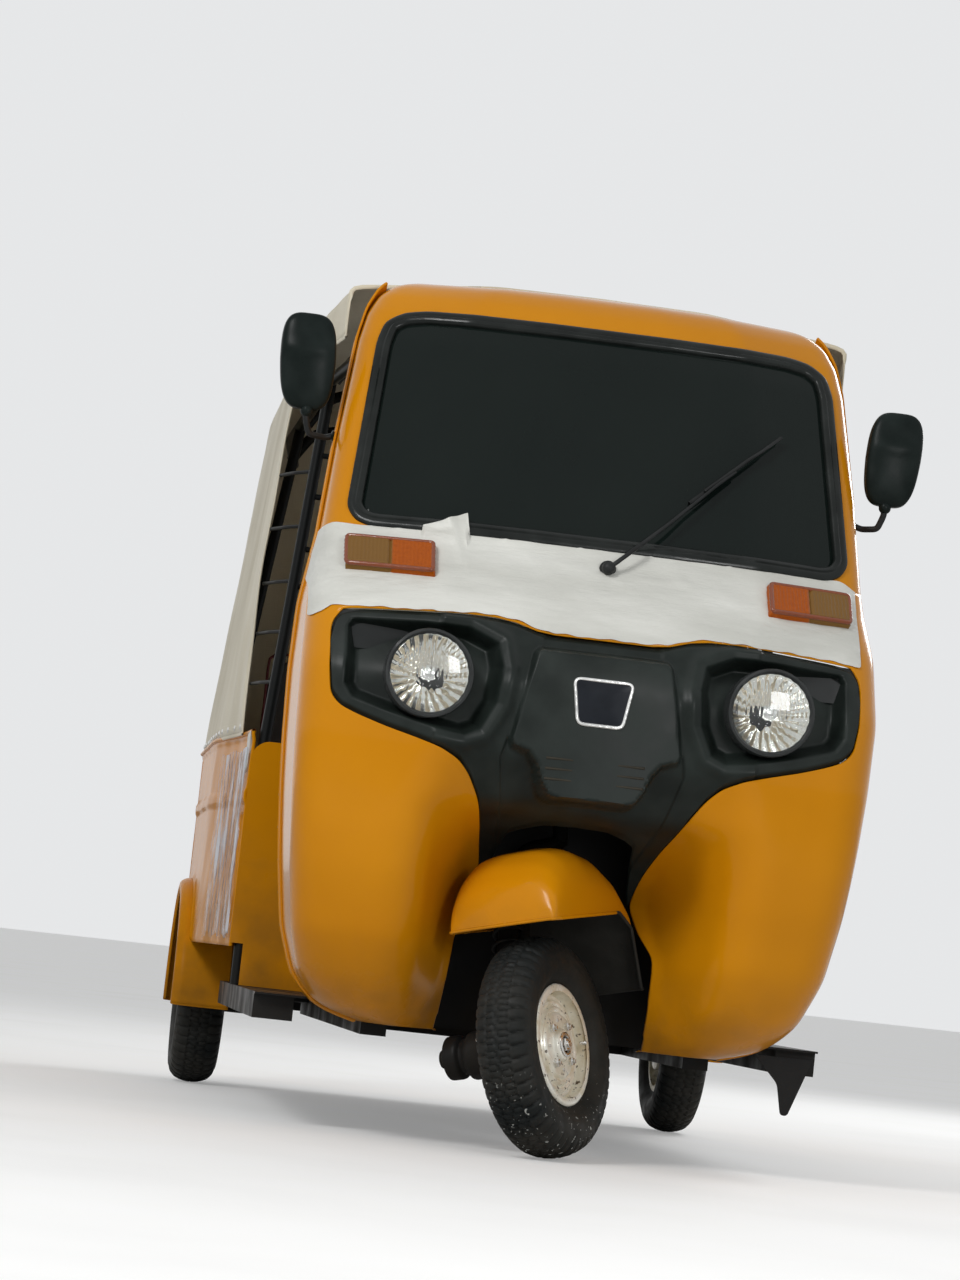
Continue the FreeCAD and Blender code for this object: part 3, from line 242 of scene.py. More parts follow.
def add_piece(name, patches, finish, body="body", thick=0.0, angle=38.0, outward=False):
    """One mesh from patches: each cell is a face, and patches that touch are joined.

    thick walls it inward, edges bent by more than the angle stay sharp, and outward turns its faces out."""
    points, faces, first = [], [], 0
    for patch in patches:
        rows, columns = patch.shape[:2]
        ids = first + np.arange(rows * columns).reshape(rows, columns)
        faces.append(np.stack([ids[:-1, :-1], ids[:-1, 1:], ids[1:, 1:], ids[1:, :-1]], -1).reshape(-1, 4))
        points.append(patch.reshape(-1, 3))
        first += rows * columns
    mesh = bpy.data.meshes.new(name)
    mesh.from_pydata((np.concatenate(points) / 1000).tolist(), [], np.concatenate(faces).tolist())
    work = bmesh.new()
    work.from_mesh(mesh)
    bmesh.ops.remove_doubles(work, verts=work.verts, dist=0.00002)
    bmesh.ops.dissolve_degenerate(work, edges=work.edges, dist=0.00001)
    if outward:
        bmesh.ops.recalc_face_normals(work, faces=work.faces)
    work.to_mesh(mesh)
    work.free()
    mesh.shade_smooth()
    mesh.set_sharp_from_angle(angle=np.radians(angle))
    mesh.materials.append(finish.data)
    item = bpy.data.objects.new(name, mesh)
    bpy.context.collection.objects.link(item)
    if thick:
        wall = item.modifiers.new("wall", "SOLIDIFY")
        wall.thickness, wall.offset = thick / 1000, -1
    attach(item, body)
    return item


def full_turn(count):
    """Angles from 0 to a full turn, both ends counted."""
    return np.linspace(0, 2 * np.pi, count)


def both_sides(*patches):
    """Each patch of the left side, and its mirror image on the right."""
    return [half for patch in patches for half in (patch, (patch * (-1.0, 1, 1))[:, ::-1])]


def smooth_table(rows, heights, spread):
    """Columns of a table as smooth functions of its first column: straight runs, then a running mean."""
    rows = np.array(rows, float)
    low, high = rows[0, 0], rows[-1, 0]
    fine = np.arange(low - 3 * spread, high + 3 * spread + 1)
    kernel = np.exp(-0.5 * (np.arange(-3 * spread, 3 * spread + 1) / spread) ** 2)
    kernel /= kernel.sum()
    out = []
    for column in range(1, rows.shape[1]):
        before = 2 * rows[0, column] - read(rows, 2 * low - fine, column)
        after = 2 * rows[-1, column] - read(rows, 2 * high - fine, column)
        whole = np.where(fine < low, before, np.where(fine > high, after, read(rows, fine, column)))
        out.append(np.interp(heights, fine, np.convolve(whole, kernel, "same")))
    return out


def rounded_runs(corners, radii, straight=8, bend=14):
    """A line through corners (sections, corners, 2), each inner corner cut by a curve of about its radius."""
    path, at = [], corners[:, 0]
    steps = np.linspace(0, 1, straight, endpoint=False)[:, None]
    curve_steps = np.linspace(0, 1, bend, endpoint=False)[:, None]
    for i, radius in enumerate(radii, 1):
        middle = corners[:, i]
        back, front = corners[:, i - 1] - middle, corners[:, i + 1] - middle
        back_long = np.linalg.norm(back, axis=1, keepdims=True)
        front_long = np.linalg.norm(front, axis=1, keepdims=True)
        cosine = (back * front).sum(1, keepdims=True) / (back_long * front_long)
        half_turn = (np.pi - np.arccos(np.clip(cosine, -1, 1))) / 2
        reach = np.minimum(radius * np.tan(half_turn), 0.48 * np.minimum(back_long, front_long))
        leave, join = middle + back * reach / back_long, middle + front * reach / front_long
        path.append(blend(at[:, None], leave[:, None], steps))
        t = curve_steps
        path.append(leave[:, None] * (1 - t) ** 2 + 2 * middle[:, None] * t * (1 - t) + join[:, None] * t ** 2)
        at = join
    path += [blend(at[:, None], corners[:, -1:], steps), corners[:, -1:]]
    return np.concatenate(path, 1)


def evenly(path, count):
    """Each section's line, resampled at even steps along its length."""
    run = np.linalg.norm(np.diff(path, axis=1), axis=2)
    along = np.concatenate([np.zeros((len(path), 1)), np.cumsum(run, 1)], 1)
    along /= along[:, -1:]
    wanted = np.linspace(0, 1, count)
    return np.stack([np.stack([np.interp(wanted, a, p[:, k]) for k in range(path.shape[2])], -1)
                     for a, p in zip(along, path)])


def smoothed(table, spread, count):
    """A line of points made evenly spaced and its corners eased by a running mean."""
    line = evenly(np.asarray(table, float)[None], 600)[0]
    reach = int(spread / (np.linalg.norm(np.diff(line, axis=0), axis=1).sum() / 600))
    padded = np.concatenate([2 * line[0] - line[reach:0:-1], line, 2 * line[-1] - line[-2:-reach - 2:-1]])
    kernel = np.hanning(2 * reach + 1)
    kernel /= kernel.sum()
    eased = np.stack([np.convolve(column, kernel, "valid") for column in padded.T], -1)
    return evenly(eased[None], count)[0]


class Skin:
    """A body surface made of level sections, read at (share of the way from the middle to the edge, height)."""

    PITCH = 2.0  # millimetres between its sections

    def __init__(self, rows, spread=14, samples=321):
        self.heights = np.arange(rows[0][0], rows[-1][0] + 0.5, self.PITCH)
        half, crest, crest_x, hollow_x, hollow, flange = smooth_table(rows, self.heights, spread)
        corners = np.stack([xyz(0 * half, NOSE + hollow), xyz(hollow_x, NOSE + hollow), xyz(crest_x, NOSE + crest),
                            xyz(half - 6, NOSE + crest + 62), xyz(half, FLANGE + flange)], 1)
        self.grid = evenly(rounded_runs(corners, (60, 90, 110)), samples)
        self.shares = np.linspace(0, 1, samples)

    def at(self, share, height):
        """Points (x, y, z) for arrays of shares and heights, between the four nearest samples."""
        share, height = np.broadcast_arrays(np.asarray(share, float), np.asarray(height, float))
        row = np.clip((height - self.heights[0]) / self.PITCH, 0, len(self.heights) - 1.001)
        column = np.clip(share, 0, 1) * (len(self.shares) - 1.001)
        i, j = row.astype(int), column.astype(int)
        a, b = (row - i)[..., None], (column - j)[..., None]
        g = self.grid
        flat = blend(blend(g[i, j], g[i, j + 1], b), blend(g[i + 1, j], g[i + 1, j + 1], b), a)
        return np.concatenate([flat, height[..., None]], -1)

    def share_at(self, x, height):
        """The share at which a level section reaches a half width x."""
        x, height = np.broadcast_arrays(np.asarray(x, float), np.asarray(height, float))
        row = np.clip(np.round((height - self.heights[0]) / self.PITCH), 0, len(self.heights) - 1).astype(int)
        flat = [np.interp(v, np.maximum.accumulate(self.grid[r, :, 0]), self.shares)
                for v, r in zip(x.ravel(), row.ravel())]
        return np.array(flat).reshape(x.shape)


cowl_skin = Skin(COWL_ROWS)
lobe_line = smoothed(LOBE_EDGE, 22, 118)
heights = np.maximum.accumulate(lobe_line[:, 0])
inner = cowl_skin.share_at(lobe_line[:, 1], heights)[:, None]
across = np.linspace(0, 1, 52) ** 0.9
lobe = cowl_skin.at(inner + (1 - inner) * across, heights[:, None])
lobe = np.concatenate([lobe[:, :1] + [(-2.2, 13, 0), (-2.0, 3, 0), (-0.8, 0.8, 0)], lobe], 1)
lobe = np.concatenate([lobe[:1] * (0.965, 1, 1) + (0, 12, -1.0), lobe])
corner_share = float(cowl_skin.share_at(CORNER_X, CORNER_Z))
shares = np.concatenate([np.linspace(0, corner_share - 0.004, 80), corner_share + (1 - corner_share) * across])
base = read(FASCIA_TOP, cowl_skin.at(shares, CORNER_Z)[:, 0])
upper = cowl_skin.at(shares, blend(base, SEAM, np.linspace(0, 1, 28)[:, None]))
cowl = add_piece("cowl_shell", both_sides(lobe, upper), yellow_paint("cowl_enamel", 0.12, 0.38), thick=2.0)
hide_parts("front_cowl")

# Screen frame: the same sheet steel goes on upwards as two raked posts and a header with rounded corners.
# Its bands run round the screen's opening, and the header ends in a lip under the canvas.
FRAME_ROWS = [
    (1135, 531, 212, 300, 140, 200, -17), (1315, 515, 292, 290, 140, 280, 40), (1540, 488, 392, 280, 130, 380, 120),
    (1600, 474, 424, 270, 120, 412, 145), (1640, 454, 452, 255, 115, 440, 166), (1664, 428, 478, 238, 105, 466, 184),
    (1678, 398, 506, 215, 95, 494, 196), (1687, 360, 540, 190, 85, 528, 206), (1690, 320, 575, 165, 75, 563, 212),
]
HEADER_TOP, CANVAS_START = 1690.0, -712
frame_skin = Skin(FRAME_ROWS, spread=7)
# Opening, from its lower edge to its upper edge (height, half width)
OPENING = [(1150, 0), (1150, 440), (1160, 468), (1185, 484), (1530, 451), (1572, 438), (1593, 405), (1600, 360),
           (1600, 0)]


def opening_line(grow, count):
    """The half outline of the screen opening, moved outward by grow."""
    line = smoothed(OPENING, 26, count)
    run = unit(np.gradient(line, axis=0))
    moved = line + grow * np.stack([-run[:, 1], run[:, 0]], -1)
    moved[[0, -1], 1] = 0
    return moved


def level_band(edge, count, below):
    """A band over the whole half width, below or above a part of the opening's edge that starts at the middle."""
    level, end_x = edge[-1]
    start = float(frame_skin.share_at(end_x, level))
    shares = np.concatenate([np.linspace(0, start, 44)[:-1], start + (1 - start) * np.linspace(0, 1, 28)])
    x = frame_skin.at(shares, level)[:, 0]
    rim = np.where(x < end_x, np.interp(x, edge[:, 1], edge[:, 0]), level)
    low, high = (SEAM, rim) if below else (rim, HEADER_TOP)
    return frame_skin.at(shares, blend(low, high, np.linspace(0, 1, count)[:, None]))


edge = opening_line(0, 220)
first, stop = int(np.argmax(edge[:, 1] > 425)), 220 - int(np.argmax(edge[::-1, 1] > 350))
posts_z = np.maximum.accumulate(edge[first:stop, 0])
inner = frame_skin.share_at(edge[first:stop, 1], posts_z)[:, None]
post = frame_skin.at(inner + (1 - inner) * np.linspace(0, 1, 28), posts_z[:, None])
sill = level_band(edge[:first + 1], 8, below=True)
header = level_band(edge[:stop - 2:-1], 34, below=False)
roof_lip = header[-1:].copy()
roof_lip[..., 1] = np.maximum(roof_lip[..., 1], CANVAS_START)
screen_frame = add_piece("screen_surround", both_sides(sill, post, np.concatenate([header, roof_lip])),
                         yellow_paint("screen_frame_enamel"), thick=2.0)
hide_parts("screen_frame")


# Front fascia: one moulding in grained black plastic between the lobes. A pocket round each lamp, a sunk middle
# panel that dives back under the mudguard, and a raised shield with six fine slots.
def black_plastic(name, colour=(0.010, 0.014, 0.012), rough=(0.3, 0.5), grain=900, depth=0.0003, specular=0.2):
    """Moulded plastic with a fine leather grain and a dusty bloom."""
    made = Finish(name, colour, 0.4, specular=specular)
    cloud = made.noise(14, 6)
    bloom = tuple(min(1.0, c * 1.6 + 0.004) for c in colour)
    made.put(base_color=made.mixed(made.between(cloud, 0.4, 0.75), colour, bloom),
             roughness=made.between(cloud, 0.3, 0.75, *rough))
    made.bump(made.noise(grain, 2), 0.35, depth)
    return made


def inside_by(outline, x, z):
    """How far points lie inside a closed outline of (x, z) corners; outside is negative."""
    a = np.array(outline, float)
    b = np.roll(a, -1, 0)
    p = np.stack([x, z], -1)[..., None, :]
    edge = b - a
    t = np.clip(((p - a) * edge).sum(-1) / (edge ** 2).sum(-1), 0, 1)
    far = np.sqrt((((p - a) - t[..., None] * edge) ** 2).sum(-1)).min(-1)
    crosses = ((a[:, 1] > p[..., 1]) != (b[:, 1] > p[..., 1])) & (
        p[..., 0] < (b[:, 0] - a[:, 0]) * (p[..., 1] - a[:, 1]) / (b[:, 1] - a[:, 1] + 1e-9) + a[:, 0])
    return np.where(crosses.sum(-1) % 2 == 1, far, -far)


def step(value, low, high):
    """0 below low, 1 above high, and between them the smooth curve 3 t squared less 2 t cubed."""
    t = np.clip((value - low) / (high - low), 0, 1)
    return t * t * (3 - 2 * t)


def hump(value, at, wide):
    """1 where the value is at, falling off on both sides as a bell curve: e to minus its distance over wide squared."""
    return np.exp(-((value - at) / wide) ** 2)


def on_skin(skin, x, z, out):
    """Points at (x, z) on a body skin, moved along its own normal by out."""
    x, z, out = np.broadcast_arrays(np.asarray(x, float), np.asarray(z, float), np.asarray(out, float))
    share = skin.share_at(abs(x), z)
    along = skin.at(np.clip(share + 0.006, 0, 1), z) - skin.at(np.clip(share - 0.006, 0, 1), z)
    rise = skin.at(share, np.minimum(z + 4, skin.heights[-1])) - skin.at(share, np.maximum(z - 4, skin.heights[0]))
    spot = skin.at(share, z) + unit(np.cross(along, rise)) * out[..., None]
    spot[..., 0] *= np.where(x < 0, -1.0, 1.0)
    return spot


def shield_plane(x, z):
    """Set-back of the raised shield: it curves back to its sides, and leans back above the lamps' middle."""
    return NOSE + 2.5 + 9 * (x / 150) ** 2 + 16 * step(z, 850, 960) * (z - 850) / 110


def depth_in(x, z, low_x, high_x, low_z, high_z):
    """How far points lie inside an upright box."""
    return np.minimum(np.minimum(x - low_x, high_x - x), np.minimum(z - low_z, high_z - z))


def slab(low_x, high_x, low_z, high_z, y, out, soft, count=24):
    """A thin pad on the face, its rim rounded over: height falls off as a circle near the edge."""
    u, v = np.sin(np.meshgrid(*[np.linspace(-1, 1, count) * np.pi / 2] * 2))
    x = (low_x + high_x) / 2 + (high_x - low_x) / 2 * u
    z = (low_z + high_z) / 2 + (high_z - low_z) / 2 * v
    inward = depth_in(x, z, low_x, high_x, low_z, high_z).clip(0, soft)
    return xyz(x, y - out * np.sqrt(1 - (1 - inward / soft) ** 2), z)


LOWER_UPPER = [  # lower edge (half width, height), upper edge (half width, height)
    (0, 620, 0, 964), (60, 618, 60, 964), (100, 607, 100, 964), (121, 597, 121, 967), (133, 545, 133, 971),
    (143, 491, 142, 974), (149, 491, 148, 976), (157, 540, 157, 979), (176, 600, 176, 983), (198, 650, 198, 986),
    (222, 691, 222, 987), (246, 717, 246, 987), (284, 735, 284, 986), (330, 748, 330, 984), (390, 764, 390, 981),
    (440, 780, 440, 978), (473, 794, 470, 975), (491, 814, 486, 969), (498, 860, 495, 956), (501, 890, 500, 930),
    (502, 908, 502, 909)]
POCKET = [(192, 940), (250, 966), (330, 968), (466, 962), (476, 945), (474, 832), (455, 806), (392, 788), (300, 766),
          (246, 758), (214, 772), (188, 826), (182, 892)]
MIDDLE = [(-60, 1000), (109, 1000), (112, 925), (166, 756), (172, 728), (152, 632), (132, 560), (136, 480), (-60, 480)]
SHIELD = [(-60, 935), (118, 934), (126, 926), (158, 764), (154, 752), (124, 742), (108, 722), (98, 690), (84, 668),
          (72, 662), (-60, 662)]
pairs = smoothed(LOWER_UPPER, 10, 160)
raise_by = np.linspace(0, 1, 116)[:, None]
face_x, face_z = (blend(pairs[None, :, k], pairs[None, :, k + 2], raise_by) for k in (0, 1))
pocket = step(inside_by(POCKET, face_x, face_z), 0, 26)
middle = step(inside_by(MIDDLE, face_x, face_z), -2.5, 2.5)
shield = step(inside_by(SHIELD, face_x, face_z), -7, 4)
rolled = 7 * (1 - step(np.minimum(face_z - pairs[None, :, 1], pairs[None, :, 3] - face_z), 0, 9))
ridge = 9 * hump(inside_by(POCKET, face_x, face_z), -14, 13.0) * (face_x < 300)
base_y = on_skin(cowl_skin, face_x, face_z, 0.0)[..., 1] + 48 * pocket + 5 * middle + rolled - ridge
face = xyz(face_x, blend(base_y, np.minimum(base_y, shield_plane(face_x, face_z)), shield), face_z)
fascia = add_piece("fascia_face", both_sides(face), black_plastic("fascia_plastic"), angle=55)
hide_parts("front_fascia")
add_piece("shield_slots", [slab(s * 66 - 26, s * 66 + 26, z - 2.4, z + 2.4, NOSE + 5.2, 2.4, 2.2, 9)
                           for s in (-1, 1) for z in (697, 716, 735)],
          black_plastic("slot_gloss", (0.03, 0.026, 0.018), (0.12, 0.2), 300, 0.0001))


# Badge: a blank plate with a chromed rim, wider at the top, glued to the shield. The plate is slightly domed and
# follows the shield's curve.
def carried(path, profile, outside, closed=False):
    """A profile (outward, sideways) carried along a path; outward is the given direction, sideways squares with it."""
    path = np.asarray(path, float)
    run = unit(np.roll(path, -1, 0) - np.roll(path, 1, 0) if closed else np.gradient(path, axis=0))
    outside = np.broadcast_to(np.asarray(outside, float), path.shape)
    outside = unit(outside - (outside * run).sum(1, keepdims=True) * run)
    aside = np.cross(run, outside)
    profile = np.asarray(profile, float)
    grid = path[:, None] + outside[:, None] * profile[None, :, :1] + aside[:, None] * profile[None, :, 1:]
    return np.concatenate([grid, grid[:1]], 0) if closed else grid


def round_profile(radius, count=14):
    """A circle of so many sides as a profile."""
    turn = full_turn(count + 1)
    return xyz(radius * np.cos(turn), radius * np.sin(turn))


def rounded_loop(corners, radius, count):
    """A closed outline through corners, eased by a running mean."""
    corners = np.asarray(corners, float)
    seam = corners[-1:] * 0.5 + corners[:1] * 0.5
    return smoothed(np.concatenate([seam, corners, seam]), radius, count)


chrome = Finish("badge_chrome", (0.78, 0.78, 0.76), 0.12, 1.0, gloss=(120, 4, 0.3, 0.8, 0.08, 0.32))
deep_gloss = black_plastic("badge_gloss", (0.006, 0.008, 0.012), (0.08, 0.16), 200, 0.00005)
BADGE = [(-55, 886), (55, 886), (42, 803), (-42, 803)]
BADGE_RIM = [(-1, -3.2), (2.5, -3.0), (4.2, -1.2), (4.2, 1.2), (2.5, 3.0), (-1, 3.2)]
loop = rounded_loop(BADGE, 22, 90)
path = xyz(loop[:, 0], shield_plane(loop[:, 0], loop[:, 1]), loop[:, 1])[:-1]
add_piece("badge_rim", [carried(path, BADGE_RIM, (0, -1, 0), closed=True)], chrome, outward=True)
shrink = np.linspace(1, 0.02, 12)[:, None, None]
middle_point = path.mean(0)
flat_loop = np.concatenate([path, path[:1]])[None] - middle_point
plate = middle_point + flat_loop * shrink * (1, 0, 1) + (0, -2.4, 0) - (1 - shrink ** 2) * (0, 1.2, 0)
add_piece("badge_plate", [plate[:, ::-1]], deep_gloss)

# Headlamps: a round chromed bowl with a bulb and its shade, under a clear moulded lens whose flutes run upright
# above the middle; a black ring holds the lens.
lens_clear = Finish("lamp_lens", (0.97, 0.98, 0.98), 0.03, transmission_weight=1.0, ior=1.46,
                    gloss=(60, 3, 0.4, 0.8, 0.02, 0.12))
bowl_chrome = Finish("lamp_bowl", (0.93, 0.93, 0.9), 0.08, 1.0, gloss=(45, 3, 0.3, 0.8, 0.05, 0.2))
ring_black = black_plastic("lamp_ring", (0.03, 0.032, 0.032), (0.12, 0.3), 400, 0.0001)
bulb_glass = Finish("lamp_bulb", (0.9, 0.8, 0.55), 0.12, tint=(300, 2, (0.9, 0.85, 0.7), (0.75, 0.55, 0.3)))
LAMP_Z, LAMP_X, LAMP_R = 866.0, 320.0, 73.0
LAMP_Y = NOSE + 27  # the lens's rim
HANDS = ((1, "left"), (-1, "right"))
LAMP_RING = [(71, -30), (71.5, -4), (73, 2), (77, 5.5), (81, 4), (82.6, -2), (82.6, -46)]
BULB = [(7, -30), (8.5, -34), (9, -40), (8, -50), (8, -62), (12, -64)]
BULB_SHADE = [(0.01, -15), (7, -15.6), (12, -18), (14.5, -22), (15, -29), (13.8, -29), (13, -22), (7, -19)]


def turned(profile, centre, count=96):
    """A profile of (radius, forward) spun round a line along the vehicle through centre."""
    angle = full_turn(count + 1)
    radius, forward = np.asarray(profile, float).T[:, :, None]
    return xyz(centre[0] + radius * np.cos(angle), centre[1] - forward, centre[2] + radius * np.sin(angle))


def lamp_lens(side):
    """A shallow dome; upright flutes above the middle and square facets below it."""
    r, a = np.meshgrid(np.linspace(0, 1, 44), full_turn(121), indexing="ij")
    x, z = LAMP_R * r * np.cos(a), LAMP_R * r * np.sin(a)
    dome = 15 * np.sqrt(np.clip(1 - 0.86 * r ** 2, 0, 1)) - 15 * np.sqrt(0.14)
    fade = step(1 - r, 0.04, 0.16)
    upper = step(z, -12, -4)
    facets = abs(np.sin(x * np.pi / 13)) * abs(np.sin(z * np.pi / 13))
    flutes = 1.7 * abs(np.sin(x * np.pi / 8.4)) * upper + 0.8 * facets * (1 - upper)
    outer = xyz(side * LAMP_X + x, LAMP_Y - dome, LAMP_Z + z)
    inner = outer + xyz(0, 2.0 + flutes * fade, 0)
    return [outer, inner[:, ::-1], np.stack([outer[-1], inner[-1]])]


reach = np.linspace(0.1, 1, 26)
ribs = 1.2 * np.cos(full_turn(145) * 24)[None] * reach[:, None]
for side, hand in HANDS:
    centre = (side * LAMP_X, LAMP_Y, LAMP_Z)
    bowl = turned(xyz(72.0 * reach, -64 + 62 * reach ** 2), centre, 144)
    bowl[..., 1] += ribs
    ring = [turned(LAMP_RING, centre), turned([(82.6, -46), (60, -62), (7.2, -66)], centre)]
    lens = add_piece(f"lamp_lens_{hand}", lamp_lens(side), lens_clear, outward=True, angle=60)
    add_piece(f"lamp_bowl_{hand}", [bowl], bowl_chrome, angle=70)
    add_piece(f"lamp_ring_{hand}", ring, ring_black)
    add_piece(f"lamp_bulb_{hand}", [turned(BULB, centre, 32)], bulb_glass)
    add_piece(f"bulb_shade_{hand}", [turned(BULB_SHADE, centre, 48)], bowl_chrome, angle=40)
    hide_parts(f"headlamp_{hand}")

# Indicators: an amber box moulded round the cowl's upper corner, ribbed upright, its outer third paler. A darker
# rim runs round it.
amber = Finish("amber_lens", (0.35, 0.08, 0.005), 0.12, specular=0.1, coat_weight=0.15)
outer_part = amber.between(amber.maths("ABSOLUTE", amber.part("X")), 0.3985, 0.4015)
tone = amber.mixed(amber.noise(160, 3), (0.30, 0.055, 0.001), (0.46, 0.10, 0.002))
amber.put(base_color=amber.mixed(outer_part, tone, (0.20, 0.10, 0.022)))
amber_rim = Finish("amber_rim", (0.2, 0.035, 0.002), 0.15, tint=(120, 3, (0.16, 0.026, 0.001), (0.26, 0.05, 0.003)),
                   coat_weight=0.35)
u, v = np.meshgrid(np.linspace(0, 1, 120), np.linspace(0, 1, 30))
x, z = 317 + 166 * u, 1053 + 64 * v
inward = depth_in(x, z, 317, 483, 1053, 1117)
out = 19 * np.sqrt(1 - (1 - inward.clip(0, 9) / 9) ** 2) + 0.3
out = out - 1.3 * abs(np.sin(x * np.pi / 7)) * step(inward, 7, 10) - 4 * hump(x, 400, 2.4)
around = rounded_loop([(321, 1057), (479, 1057), (479, 1113), (321, 1113)], 9, 160)[:-1]
for side, hand in HANDS:
    path = on_skin(cowl_skin, side * around[:, 0], around[:, 1], 15.5)
    outside = on_skin(cowl_skin, side * around[:, 0], around[:, 1], 25.5) - path
    add_piece(f"indicator_rim_{hand}", [carried(path, round_profile(4.6, 12), outside, closed=True)], amber_rim,
              outward=True)
    box = on_skin(cowl_skin, side * x, z, out)
    lens = add_piece(f"indicator_lens_{hand}", [box[:, ::side]], amber, angle=50)
    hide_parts(f"indicator_{hand}")

# Protective film: white masking film left over the cowl's upper band, torn at one peak, with a tail down its side.
# Ripples, folds and a gathered peak lift it off the paint and over the screen's rubber.
film_white = Finish("masking_film", (0.82, 0.82, 0.78), 0.45)
crease = film_white.noise(7, 6, (0.5, 1, 2.2))
# painted shade: the film's colour runs from grey in crease-shaped streaks to white between them, as if its wrinkles
# were shaded; the same streaks vary its gloss
unshaded_share = film_white.between(crease, 0.35, 0.7)
film_white.put(base_color=film_white.mixed(unshaded_share, (0.60, 0.60, 0.55), (0.74, 0.74, 0.69)))
film_white.put(roughness=film_white.between(crease, 0.3, 0.7, 0.3, 0.55))
film_white.bump(film_white.noise(26, 5, (0.4, 1, 1.6)), 0.9, 0.006)
FILM_TOP = [(-545, 1120), (-512, 1128), (-505, 1133), (-330, 1133), (500, 1133), (506, 1130)]
FILM_LOW = [(-545, 962), (-538, 958), (-520, 968), (-505, 978), (-480, 982), (-430, 983), (-205, 991), (-165, 985),
            (-120, 972), (-90, 968), (90, 968), (120, 972), (165, 985), (205, 991), (430, 984), (498, 978), (506, 985)]
u, v = np.meshgrid(np.linspace(0, 1, 280), np.linspace(0, 1, 42))
x = -543 + 1046 * u
low, high = read(FILM_LOW, x), read(FILM_TOP, x)
screen_edge = opening_line(1, 260)
screen_edge = screen_edge[: int(np.argmax(screen_edge[:, 1]))]
edge_level = np.interp(np.minimum(abs(x), 425), screen_edge[:, 1], screen_edge[:, 0])
high += np.clip(edge_level - high, -6, 60) * step(540 - abs(x + 20), 0, 60)
peak = 34 * np.clip((x + 350) / 88, 0, 1) * (1 - step(x, -262, -256))
high = high + peak + 1.5 * np.sin(x * 0.045)
low += 1.6 * np.sin(x * 0.11) * np.sin(x * 0.037 + 1)
z = blend(low, high, v)
ripple = (np.sin(z * 0.11 + x * 0.013) * np.sin(x * 0.021 + 2.0) + 0.6 * np.sin(z * 0.23 - x * 0.05)
          + 0.5 * np.sin(x * 0.09 + 3 * np.sin(z * 0.04))) * 0.55
folds = 1.8 * np.exp(-((np.sin(x * 0.017 + z * 0.031 + 1.1 * np.sin(x * 0.006))) / 0.09) ** 2) * step(v, 0.1, 0.3)
folds += 1.5 * np.exp(-((np.sin(x * 0.011 - z * 0.043 + 2.0)) / 0.07) ** 2) * step(1 - v, 0.1, 0.3)
gather = 5 * np.exp(-((x + 262 + (z - 1080) * 0.35) / 9) ** 2) * step(v, 0.35, 0.9)
over_rubber = 13 * step(z - edge_level, -16, -2) * (peak > 3)
lift = 2.4 + ripple + folds + gather + over_rubber
x = np.clip(x, -549, 549)
film = np.where((z < SEAM)[..., None], on_skin(cowl_skin, x, np.minimum(z, SEAM), lift),
                on_skin(frame_skin, x, np.maximum(z, SEAM), lift))
for _ in range(6):
    film[1:-1] = film[1:-1] * 0.5 + (film[:-2] + film[2:]) * 0.25
add_piece("masking_film", [film], film_white, angle=80)

# Windscreen: a dark glossy pane held by a fat rubber section, which follows the frame's curve round the opening.
# The pane is smeared and lets a little light through.
seal_rubber = black_plastic("seal_rubber", (0.009, 0.011, 0.01), (0.14, 0.3), 260, 0.0004)
half_line = opening_line(-9, 260)
loop = np.concatenate([half_line[:, ::-1], (half_line[::-1, ::-1] * (-1, 1))[1:-1]])
path = on_skin(frame_skin, loop[:, 0], loop[:, 1], 0.0)
outside = on_skin(frame_skin, loop[:, 0], loop[:, 1], 10.0) - path
SEAL = [(-12, -15), (1, -15.5), (5, -14), (7.5, -10), (8.5, -5), (6.5, -1.5), (7.5, 2), (7, 8), (4.5, 12.5), (1, 13.5),
        (-1, 12.5), (-12, 12)]
seal = add_piece("screen_rubber", [carried(path, SEAL, outside, closed=True)], seal_rubber, outward=True)
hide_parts("windscreen_seal")
screen_glass = Finish("screen_glass", (0.012, 0.018, 0.016), 0.05, specular=0.1, transmission_weight=0.12, ior=1.5)
smear = screen_glass.noise(5, 7, (1, 1, 0.5))
screen_glass.put(roughness=screen_glass.between(smear, 0.45, 0.8, 0.02, 0.16))
screen_glass.put(base_color=screen_glass.mixed(smear, (0.004, 0.008, 0.007), (0.010, 0.015, 0.013)))
pane_line = opening_line(-19, 100)
pane_z = np.maximum.accumulate(pane_line[:, 0])
share = frame_skin.share_at(pane_line[:, 1], pane_z)
spread = np.linspace(-1, 1, 61)[None]
pane = frame_skin.at(abs(spread) * share[:, None], pane_z[:, None]) * xyz(np.sign(spread), 1, 1) + (0, 3.5, 0)
glass = add_piece("screen_pane", [pane], screen_glass, thick=5.0)
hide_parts("windscreen_glass")

# Wiper: a domed pivot cap on the seam, a slim bent arm and a blade in its holder, parked across the glass. Its
# lines stand off the pane by their distances from the frame's surface.
wiper_black = black_plastic("wiper_black", (0.012, 0.013, 0.013), (0.3, 0.55), 500, 0.0002)


def capped(path, radius, outside=(0, 0, 1), count=14, taper=0.0):
    """A round rod along a path with rounded ends; taper narrows its far end."""
    path = np.asarray(path, float)
    run = np.concatenate([[0], np.cumsum(np.linalg.norm(np.diff(path, axis=0), axis=1))])
    ends = np.minimum(run, run[-1] - run)
    size = np.sqrt(np.clip(1 - (1 - np.clip(ends / radius, 0, 1)) ** 2, 1e-5, 1)) * (1 - taper * run / run[-1])
    grid = carried(path, round_profile(radius, count), outside)
    return path[:, None] + (grid - path[:, None]) * size[:, None, None]


